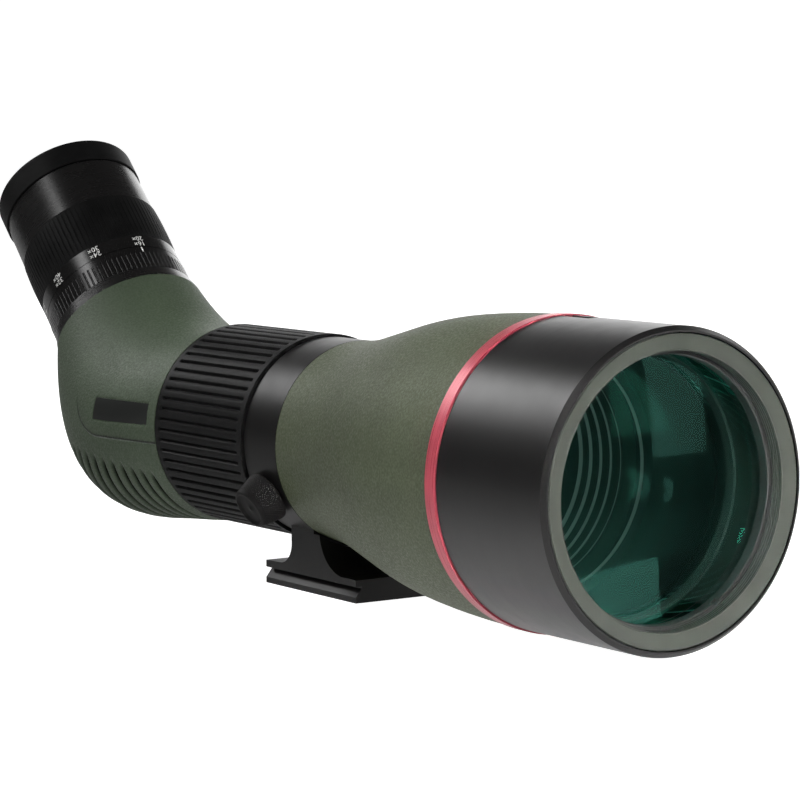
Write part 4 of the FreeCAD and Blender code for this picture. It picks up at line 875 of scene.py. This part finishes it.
FLOOR_HALF = 30.0
FLOOR_GAP = 0.0002
FLOOR_GREY = (0.4, 0.4, 0.4)
GLOW_CENTRE = (0.15, -0.01, 0.0)
GLOW_RADII = (0.08, 0.34)
GLOW_STRENGTHS = (0.66, 0.02)


def make_floor():
    """Plain pale floor, with a soft glow under the objective that its black parts can mirror."""
    low = CAD_BOX[0].z - FLOOR_GAP
    signs = ((-1, -1), (1, -1), (1, 1), (-1, 1))
    corners = [(x * FLOOR_HALF, y * FLOOR_HALF, low) for x, y in signs]
    mesh = bpy.data.meshes.new("floor")
    mesh.from_pydata(corners, [], [(0, 1, 2, 3)])
    floor = bpy.data.objects.new("floor", mesh)
    bpy.context.scene.collection.objects.link(floor)
    paint = Paint("floor_paint", FLOOR_GREY, 0.9)
    paint.shader.inputs["Emission Color"].default_value = (1, 1, 1, 1)
    rays = paint.node("ShaderNodeLightPath")
    away = paint.node("ShaderNodeVectorMath", operation="DISTANCE")
    away.inputs[1].default_value = GLOW_CENTRE
    paint.link(paint.place, away.inputs[0])
    near_glow = paint.rescale(away.outputs["Value"], *GLOW_RADII, *GLOW_STRENGTHS)
    seen_glow = paint.rescale(rays.outputs["Is Camera Ray"], 0, 1, 0, 1)
    paint.link(paint.sums("MAXIMUM", near_glow, seen_glow), paint.shader.inputs["Emission Strength"])
    mesh.materials.append(paint.material)


# ---------------------------------------------------------------- putting it together

def main():
    """Give every node its material, add the detailed pieces and set up the studio."""
    paints = {
        "black_anodised": satin_black("satin_black"),
        "inner_black": speckled("inner_black", (0.022, 0.023, 0.022), 0.5, 0.8, 0.02),
        "armour_green": armour_rubber("armour_rubber", (0.063, 0.077, 0.041), False),
        "red_anodised": red_anodised(),
        "bezel_grey": bezel_metal(),
        "badge_black": speckled("badge_black", (0.01, 0.011, 0.01), 0.35, 0.5, 0.01),
        "grip_rubber": grip_rubber(),
        "coated_glass": coated_glass("coated_glass", (0.3, 0.8, 0.68), 0.0068, (0.91, 0.985, 0.965)),
        "steel": turned_steel(),
        "nylon": speckled("nylon", (0.75, 0.74, 0.7), 0.5, 0.8, 0.01),
        "felt": speckled("felt", (0.02, 0.02, 0.02), 0.95, 0.3, 0.05),
    }
    eyepiece_black = satin_black("eyepiece_black", 0.27, math.radians(-45), gloss=0.6)
    dial_black = satin_black("dial_black", 0.22, math.radians(-45), gloss=0.6)
    collar_black = satin_black("collar_black", 0.38, gloss=0.2)
    special = {
        "eyepiece_base_ring": eyepiece_black,
        "index_ring": dial_black,
        "union_ring": dial_black,
        "scale_ring": dial_black,
        "eyecup_sleeve": eyepiece_black,
        "collar_and_foot": collar_black,
        "collar_retaining_ring": collar_black,
        # The baffles get a lighter black than the cell: painted light for the light they catch through the
        # lens.
        "light_baffles": inside_black("baffle_black", 38.45, (0.10, 0.105, 0.10)),
        "objective_cell": inside_black("cell_black", 39.45, (0.022, 0.023, 0.022)),
    }
    for node, item in NODES.items():
        for slot in item.material_slots:
            slot.material = special.get(node, paints[SLOT_OF[node]])
    make_housing_armour(armour_rubber("housing_rubber", (0.058, 0.080, 0.049), True))
    make_focus_grip(paints["grip_rubber"])
    make_clamp_knob(satin_black("knob_black", 0.55, gloss=0.12))
    print_white = speckled("print_white", (0.8, 0.8, 0.78), 0.5, 0.4, 0.002)
    make_dial(print_white)
    make_index_mark(print_white)
    make_studio()
    make_floor()
    make_camera()


main()
